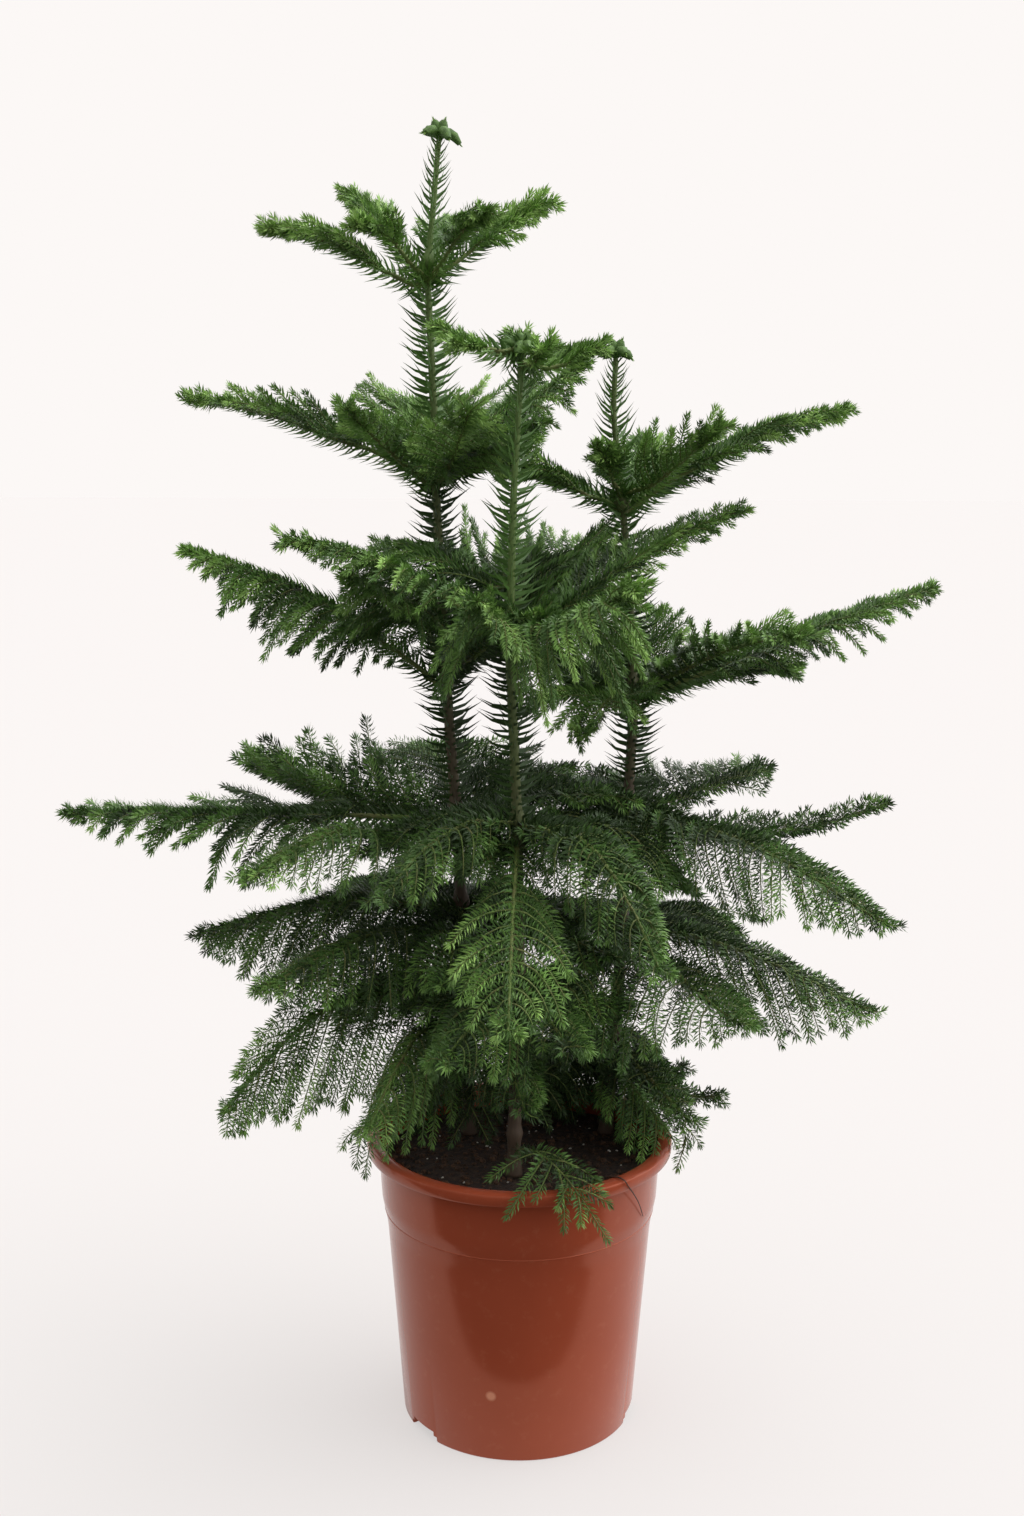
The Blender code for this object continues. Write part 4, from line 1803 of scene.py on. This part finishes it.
@dataclass
class Soil:
    """Potting mix: an uneven top with loose crumbs and a few grains of perlite."""

    level: float
    radius: float
    depth: float = 0.03
    rings: int = 46
    turns: int = 150
    relief: float = 2.2 * MM
    settled: float = 0.6 * MM
    crumbs: int = 900
    perlite: int = 46

    def height(self, x: float, y: float) -> float:
        """The top's height at a place: broad swells, lumps on them and grit on those."""
        waves = ((0, 28 * MM, 1.0), (3, 5 * MM, 0.45), (7, 2 * MM, 0.22))
        rough = sum(noise.noise(Vector((x, y, layer)) / size) * share for layer, size, share in waves)
        return self.level - self.settled + rough * self.relief

    def build(self, material: Material) -> Object:
        """Makes the soil as a closed disc.

        Args:
            material: Its finish.

        Returns:
            The object.
        """
        shape = bmesh.new()
        centre = shape.verts.new((0, 0, self.height(0, 0)))
        ways = [heading(2 * math.pi * k / self.turns) for k in range(self.turns)]
        loops = []
        for i in range(1, self.rings + 1):
            spots = [way * self.radius * i / self.rings for way in ways]
            loops.append([shape.verts.new((p.x, p.y, self.height(p.x, p.y))) for p in spots])
        floor = self.level - self.depth
        loops.append([shape.verts.new((v.co.x * 0.985, v.co.y * 0.985, floor)) for v in loops[-1]])
        bottom = shape.verts.new((0, 0, floor))
        for k in range(self.turns):
            j = (k + 1) % self.turns
            shape.faces.new((centre, loops[0][k], loops[0][j]))
            shape.faces.new((bottom, loops[-1][j], loops[-1][k]))
            for near, far in zip(loops, loops[1:]):
                shape.faces.new((near[k], far[k], far[j], near[j]))
        bmesh.ops.recalc_face_normals(shape, faces=shape.faces)
        return link_mesh("potting_soil", mesh_of("potting_soil", shape), material)

    def grains(
        self, name: str, count: int, sizes: tuple[float, float], seed: int, material: Material
    ) -> Object:
        """Scatters rough grains over the soil.

        Args:
            name: The object's name.
            count: How many grains.
            sizes: The least and the greatest radius of a grain.
            seed: The seed of their places and shapes.
            material: Their finish.

        Returns:
            One object that holds them all.
        """
        dice = random.Random(seed)
        shape = bmesh.new()
        for _ in range(count):
            away = self.radius * 0.97 * math.sqrt(dice.random())
            turn = dice.uniform(0, 2 * math.pi)
            x, y = away * math.cos(turn), away * math.sin(turn)
            size = blend_value(sizes[0], sizes[1], dice.random() ** 2.5)
            before = len(shape.verts)
            bmesh.ops.create_icosphere(shape, subdivisions=1, radius=size)
            shape.verts.ensure_lookup_table()
            squash = [dice.uniform(low, high) for low, high in ((0.7, 1.5), (0.6, 1.1), (0.5, 0.9))]
            spin = Matrix.Rotation(dice.uniform(0, 2 * math.pi), 3, "Z")
            turned = spin @ Matrix.Rotation(dice.uniform(-0.5, 0.5), 3, "X")
            for vertex in shape.verts[before:]:
                point = Vector([c * s * dice.uniform(0.82, 1.12) for c, s in zip(vertex.co, squash)])
                vertex.co = turned @ point + Vector((x, y, self.height(x, y) + size * 0.25))
        return link_mesh(name, mesh_of(name, shape, smooth=False), material)


@dataclass
class FallenTwig:
    """A thin dry twig that lies over the pot's rim and hangs down its side. Its line is in millimetres."""

    line: tuple[Place, ...] = (
        (56, -70, 196), (62.5, -76.5, 198.9), (67.2, -81.2, 198.6), (69.8, -80.2, 194.5),
        (74.5, -72.5, 185), (78.8, -60, 173), (82.4, -48.6, 159.2),
    )
    radius: float = 0.6 * MM
    sides: int = 8

    def smoothed(self, steps: int = 4) -> list[Vector]:
        """Rounds the line off.

        Args:
            steps: How many parts each stretch of the line gets.

        Returns:
            The points of a smooth curve through the line's own.
        """
        points = [in_metres(place) for place in self.line]
        fine = []
        for i, (start, end) in enumerate(zip(points, points[1:])):
            leaving = (end - points[max(0, i - 1)]) * 0.5
            arriving = (points[min(len(points) - 1, i + 2)] - start) * 0.5
            for k in range(steps):
                t = k / steps
                ahead = end * (3 * t**2 - 2 * t**3) + arriving * (t**3 - t**2)
                fine.append(start * (2 * t**3 - 3 * t**2 + 1) + leaving * (t**3 - 2 * t**2 + t) + ahead)
        return [*fine, points[-1]]

    def build(self, material: Material) -> Object:
        """Makes the twig as a tapering tube.

        Args:
            material: Its dry rind.

        Returns:
            The object.
        """
        fine = self.smoothed()
        turns = [2 * math.pi * k / self.sides for k in range(self.sides)]
        rings = []
        for i, point in enumerate(fine):
            way = (fine[min(len(fine) - 1, i + 1)] - fine[max(0, i - 1)]).normalized()
            side = way.cross(UP).normalized()
            rise = side.cross(way)
            radius = self.radius * (1 - 0.6 * i / len(fine))
            rings.append([point + (side * math.cos(t) + rise * math.sin(t)) * radius for t in turns])
        return link_mesh("fallen_twig", ring_skin(rings, "fallen_twig"), material)


# --------------------------------------------------------------------------------------
# The studio
# --------------------------------------------------------------------------------------


@dataclass
class Studio:
    """A pale floor, soft lights and the camera."""

    focal_length: float = 40.86
    sensor: float = 36.0
    camera_place: tuple[float, float, float] = (-0.0061, -1.127, 0.6541)
    pitch: float = 9.76
    roll: float = 0.23
    acrylic: str = "7f7c7b"
    acrylic_glow: float = 0.58
    front_glow: float = 0.35
    backdrop: str = "fcf8f6"
    floor_radius: float = 30.0
    tooth: float = 4 * MM
    front_edge: float = -0.15
    front_sky: float = 0.3
    back_sky: float = 0.64
    right_sky: float = 1.68
    top_sky: float = 1.05
    ground: float = 0.08
    key: float = 1.4
    key_breadth: float = 60.0
    key_place: tuple[float, float, float] = (0.7, 0.25, 1.4)

    def floor(self) -> Object:
        """Makes the floor, a wide sheet of matt pale acrylic lit softly from below.

        The part in front of the frame gives little light and isn't reflected, so that the pot's front
        keeps its dark reflection.

        Returns:
            The floor.
        """
        # Matt acrylic lit from below hides its own surface: the pot stands on plain light.
        material = new_material("backlit_matt_acrylic")
        tree = material.node_tree
        place = add_node(tree, "ShaderNodeTexCoord").outputs["Object"]
        depth = add_node(tree, "ShaderNodeSeparateXYZ", {"Vector": place}).outputs["Y"]
        behind = add_node(tree, "ShaderNodeMath", {"operation": "GREATER_THAN", 0: depth, 1: self.front_edge})
        ray = add_node(tree, "ShaderNodeLightPath").outputs
        seen = {"operation": "MAXIMUM", 0: behind.outputs["Value"], 1: ray["Is Camera Ray"]}
        shows = add_node(tree, "ShaderNodeMath", seen).outputs["Value"]
        dim = {"operation": "MULTIPLY", 0: ray["Is Diffuse Ray"], 1: self.front_glow}
        glow = add_node(tree, "ShaderNodeMath", dim).outputs["Value"]
        dark = add_node(tree, "ShaderNodeEmission", {"Strength": glow}).outputs["Emission"]
        lit = tree.nodes["Principled BSDF"].outputs["BSDF"]
        whole = add_node(tree, "ShaderNodeMixShader", {0: shows, 1: dark, 2: lit})
        set_node(tree, tree.nodes["Material Output"], {"Surface": whole.outputs["Shader"]})
        grain = {"Vector": place, "Scale": 1 / self.tooth, "Detail": 3.0}
        tooth = add_node(tree, "ShaderNodeTexNoise", grain).outputs["Fac"]
        bump = add_node(tree, "ShaderNodeBump", {"Height": tooth, "Strength": 0.03, "Distance": 0.2 * MM})
        looks = {"Base Color": linear(self.acrylic), "Normal": bump.outputs["Normal"], "Roughness": 0.9}
        glowing = {"Emission Color": linear(self.backdrop), "Emission Strength": self.acrylic_glow}
        dress(material, {**looks, **glowing, "Specular IOR Level": 0.0})
        wide = self.floor_radius
        shape = bmesh.new()
        corners = ((-wide, -wide), (wide, -wide), (wide, wide), (-wide, wide))
        shape.faces.new([shape.verts.new((x, y, 0.0)) for x, y in corners])
        floor = link_mesh("studio_floor", mesh_of("studio_floor", shape, smooth=False), material)
        floor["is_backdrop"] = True
        return floor

    def sky_light(self) -> None:
        """Makes the sky: bright above, behind and on the right, dim in front, and pale to look at."""
        world = bpy.data.worlds.new("studio_sky")
        world.use_nodes = True
        tree = world.node_tree
        way = add_node(tree, "ShaderNodeTexCoord").outputs["Generated"]
        parts = add_node(tree, "ShaderNodeSeparateXYZ", {"Vector": way}).outputs
        back, right, top, ground = (
            add_node(
                tree, "ShaderNodeMapRange",
                {"Value": parts[axis], "From Min": start, "From Max": end, "To Min": low, "To Max": high},
            ).outputs["Result"]
            for axis, start, end, low, high in (
                ("Y", -0.39, -0.31, self.front_sky, self.back_sky),
                ("X", 0.35, 0.8, 0.0, self.right_sky),
                ("Z", 0.0, 1.0, 0.0, self.top_sky),
                ("Z", -0.04, 0.0, self.ground, 1.0),
            )
        )
        light = back
        for operation, other in (("ADD", right), ("ADD", top), ("MULTIPLY", ground)):
            both = {"operation": operation, 0: light, 1: other}
            light = add_node(tree, "ShaderNodeMath", both).outputs["Value"]
        soft = tree.nodes["Background"]
        set_node(tree, soft, {"Color": linear("ffffff"), "Strength": light})
        backdrop = add_node(tree, "ShaderNodeBackground", {"Color": linear(self.backdrop), "Strength": 1.0})
        eye = add_node(tree, "ShaderNodeLightPath").outputs["Is Camera Ray"]
        choice = {0: eye, 1: soft.outputs["Background"], 2: backdrop.outputs["Background"]}
        seen = add_node(tree, "ShaderNodeMixShader", choice)
        set_node(tree, tree.nodes["World Output"], {"Surface": seen.outputs["Shader"]})
        bpy.context.scene.world = world

    def sun(self) -> None:
        """Hangs one very broad key light, high on the right."""
        data = bpy.data.lights.new("key_light", "SUN")
        data.energy = self.key
        data.angle = math.radians(self.key_breadth)
        lamp = bpy.data.objects.new("key_light", data)
        lamp.location = self.key_place
        lamp.rotation_euler = (-Vector(self.key_place)).to_track_quat("-Z", "Y").to_euler()
        bpy.context.scene.collection.objects.link(lamp)

    def camera(self) -> None:
        """Sets up the camera."""
        data = bpy.data.cameras.new("camera")
        data.lens = self.focal_length
        data.sensor_width = self.sensor
        camera = bpy.data.objects.new("camera", data)
        tilt = Matrix.Rotation(math.radians(90 - self.pitch), 4, "X")
        turn = Matrix.Rotation(math.radians(self.roll), 4, "Z")
        camera.matrix_world = Matrix.Translation(self.camera_place) @ tilt @ turn
        bpy.context.scene.collection.objects.link(camera)
        bpy.context.scene.camera = camera

    def build(self) -> None:
        """Makes the floor, the sky, the lights and the camera."""
        self.floor()
        bpy.context.scene.view_settings.view_transform = "Standard"
        self.sky_light()
        self.sun()
        self.camera()


# --------------------------------------------------------------------------------------
# Assembly
# --------------------------------------------------------------------------------------


STEM_NAMES = ("tall", "front", "right")
TURNS_BROWN = {"tall": 0.60, "front": 0.43, "right": 0.60}
WALL_GAP = 0.4 * MM
NO_FILLERS_BELOW = 0.22
FILLERS_BEHIND_BELOW = 0.26
SPRIG_NAME = "front_5_front_right"


@dataclass
class PottedPine:
    """The whole plant in its pot."""

    frame: dict
    box: tuple[Vector, Vector]
    lines: dict[str, StemLine] = field(default_factory=dict)

    def read_stems(self) -> None:
        """Reads the three stems' solids."""
        for stem in STEM_NAMES:
            node = f"stem_{stem}"
            self.lines[stem] = StemLine(node).read(self.frame["nodes"][node])

    def limb_line(self, name: str) -> list[Vector]:
        """The middle line of a bough's limb.

        Args:
            name: The bough's name, such as "tall_2_left".

        Returns:
            Its points from the stem outwards; none where the bough has no limb.
        """
        node = f"bough_{name}"
        if node not in self.frame["nodes"]:
            return []
        stem = self.lines[name.split("_")[0]]
        return BoughForm(name).read(self.frame["nodes"][node], stem, stations=4).spine

    def finish(self, piece: Object, nodes: Sequence[str] = ()) -> None:
        """Hangs a finished piece on the frame and reports it.

        Args:
            piece: The piece.
            nodes: The solids that it stands for; none where it is an extra.
        """
        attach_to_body(piece, "root")
        if nodes:
            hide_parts(*nodes)
        triangles = sum(len(p.vertices) - 2 for p in piece.data.polygons)
        LOG.info("%s: %d triangles", piece.name, triangles)

    def painted_sunlight(self, out: Vector, height: float) -> float:
        """Painted light for a bough's tints, by the way it points and by its height on the plant.

        High boughs and those that point to the front get lighter tints, low ones darker, as painted shade.
        """
        return -0.22 + 0.12 * max(0.0, -out.y) + 0.8 * (height - 0.2) / 0.65

    def grow_crown(self, crown: Crown) -> dict[str, list[str]]:
        """Grows every bough, the hidden boughs between them and the tops of the stems.

        Args:
            crown: Where the shoots are gathered.

        Returns:
            The solids that each stem's crown stands for.
        """
        stands_for: dict[str, list[str]] = {stem: [] for stem in STEM_NAMES}
        whorls: dict[tuple[str, str], list[BoughForm]] = {}
        for node in sorted(self.frame["nodes"]):
            if not node.startswith("spray_"):
                continue
            name = node[len("spray_") :]
            stem, tier = name.split("_")[:2]
            line = self.lines[stem]
            form = BoughForm(name).read(self.frame["nodes"][node], line)
            seed = sum(ord(letter) * (i + 1) for i, letter in enumerate(name))
            general = HABITS.get((stem, int(tier)), PLUME)
            habit = HABITS.get((stem, int(tier), name.split("_", 2)[2]), general)
            form.settle(habit.root_drop, habit.sag)
            growth = BoughGrowth(form, seed, habit, self.painted_sunlight(form.out, form.attach.z))
            limb = self.limb_line(name)
            crown.add(stem, SPRIG.grow(seed) if name == SPRIG_NAME else growth.grow(line, limb))
            whorls.setdefault((stem, tier), []).append(form)
            stands_for[stem].append(node)
            if limb:
                stands_for[stem].append(f"bough_{name}")
        for number, ((stem, tier), forms) in enumerate(sorted(whorls.items())):
            if forms[0].attach.z < NO_FILLERS_BELOW:
                continue
            low = forms[0].attach.z < FILLERS_BEHIND_BELOW
            for filler in Whorl(forms, self.lines[stem], 900 + number, back_only=low).missing():
                seed = 1700 + number * 10 + len(filler.name)
                habit = HABITS.get((stem, int(tier)), PLUME)
                # Fillers get darker tints than the boughs beside them, darkest low behind the stems: painted
                # shade inside the crown.
                painted_light = self.painted_sunlight(filler.out, filler.attach.z) - (0.4 if low else 0.14)
                growth = BoughGrowth(filler, seed, habit, painted_light)
                crown.add(stem, growth.grow(self.lines[stem], []))
        for number, bough in enumerate(LOW_BOUGHS):
            crown.add(bough.stem, bough.grow(2600 + number))
        for number, stem in enumerate(STEM_NAMES):
            crown.add(stem, StemTop(self.lines[stem], 40 + number).grow())
        return stands_for

    def build_stems(self) -> None:
        """Makes the three stems."""
        for stem in STEM_NAMES:
            whorls = sorted({round(self.attach_height(node), 3) for node in self.boughs_of(stem)})
            bark = BarkFinish(stem, TURNS_BROWN[stem]).build()
            piece = StemWood(self.lines[stem], whorls).build(f"stem_wood_{stem}", bark)
            self.finish(piece, [f"stem_{stem}"])

    def boughs_of(self, stem: str) -> list[str]:
        """The foliage solids that a stem carries."""
        return [n for n in sorted(self.frame["nodes"]) if n.startswith(f"spray_{stem}_")]

    def attach_height(self, node: str) -> float:
        """The height at which a foliage solid, or its limb, meets the stem."""
        limb = node.replace("spray_", "bough_")
        found = limb if limb in self.frame["nodes"] else node
        stem = self.lines[node.split("_")[1]]
        points = [v.co for v in self.frame["nodes"][found].data.vertices]
        return min(points, key=lambda p: (p - stem.middle(p.z)).to_2d().length).z

    def build_crown(self) -> None:
        """Makes all boughs, twigs and needles."""
        short, flat, hooked = (
            NeedleTree(shape.build()).build()
            for shape in (
                NeedleShape("short_needle", ((0.4, 0.2),), bend=0.25),
                NeedleShape("flat_needle", ((0.62, 0.165),), bend=0.3),
                NeedleShape("hooked_needle", ((0.25, 0.145), (0.62, 0.11)), bend=0.76, twist=75),
            )
        )
        trees = {kind: short for kind in Kind}
        trees.update({Kind.FEATHER: flat, Kind.LEADER: hooked, Kind.STEM: hooked})
        crown = Crown(trees, WoodTree().build(), *self.box)
        stands_for = self.grow_crown(crown)
        rind = TwigFinish().build()
        scales = TwigFinish("green_bud_scales", "3f5c25", "54742f", 2 * MM).build()
        waxes = {tint: NeedleFinish(tint).build() for tint in Tint}
        for number, stem in enumerate(STEM_NAMES):
            self.finish(crown.wood(stem, Kind.LEADER, 6, rind), stands_for[stem])
            for kind, sides, skin in ((Kind.TWIG, 3, rind), (Kind.FEATHER, 3, rind), (Kind.BUD, 6, scales)):
                self.finish(crown.wood(stem, kind, sides, skin))
            for kind in Kind:
                for tint in Tint:
                    piece = crown.needles(stem, kind, tint, waxes[tint], 11 + number)
                    if piece:
                        self.finish(piece)

    def build_pot(self) -> None:
        """Makes the pot, the soil and the grains on it."""
        self.finish(Pot().build(MouldedPolypropylene().build()), ["pot"])
        dry = TwigFinish("dry_twig", "2f1b11", "4a2d1c", 4 * MM).build()
        self.finish(FallenTwig().build(dry))
        _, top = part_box("soil")
        soil = Soil(level=top.z, radius=top.x - WALL_GAP)
        peat = PottingMix().build()
        self.finish(soil.build(peat), ["soil"])
        dark = PottingMix("peat_crumbs", "2a1c13", "6a4a30", 2 * MM).build()
        crumbs = soil.grains("soil_crumbs", soil.crumbs, (0.7 * MM, 3.2 * MM), 5, dark)
        self.finish(crumbs)
        white = PottingMix("expanded_perlite", "b9b4aa", "f1eee6", 1.5 * MM).build()
        perlite = soil.grains("perlite", soil.perlite, (0.6 * MM, 1.6 * MM), 9, white)
        self.finish(perlite)

    def build(self) -> None:
        """Makes every piece."""
        self.read_stems()
        self.build_pot()
        self.build_stems()
        self.build_crown()


def main() -> None:
    """Builds the plant, kept inside the box of the model's solids, and its studio."""
    logging.basicConfig(level=logging.INFO, format="%(name)s %(message)s")
    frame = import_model()
    solid_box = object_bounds()
    PottedPine(frame, tuple(Vector(corner) for corner in solid_box)).build()
    Studio().build()
    bpy.context.view_layer.update()


if __name__ == "__main__":
    main()
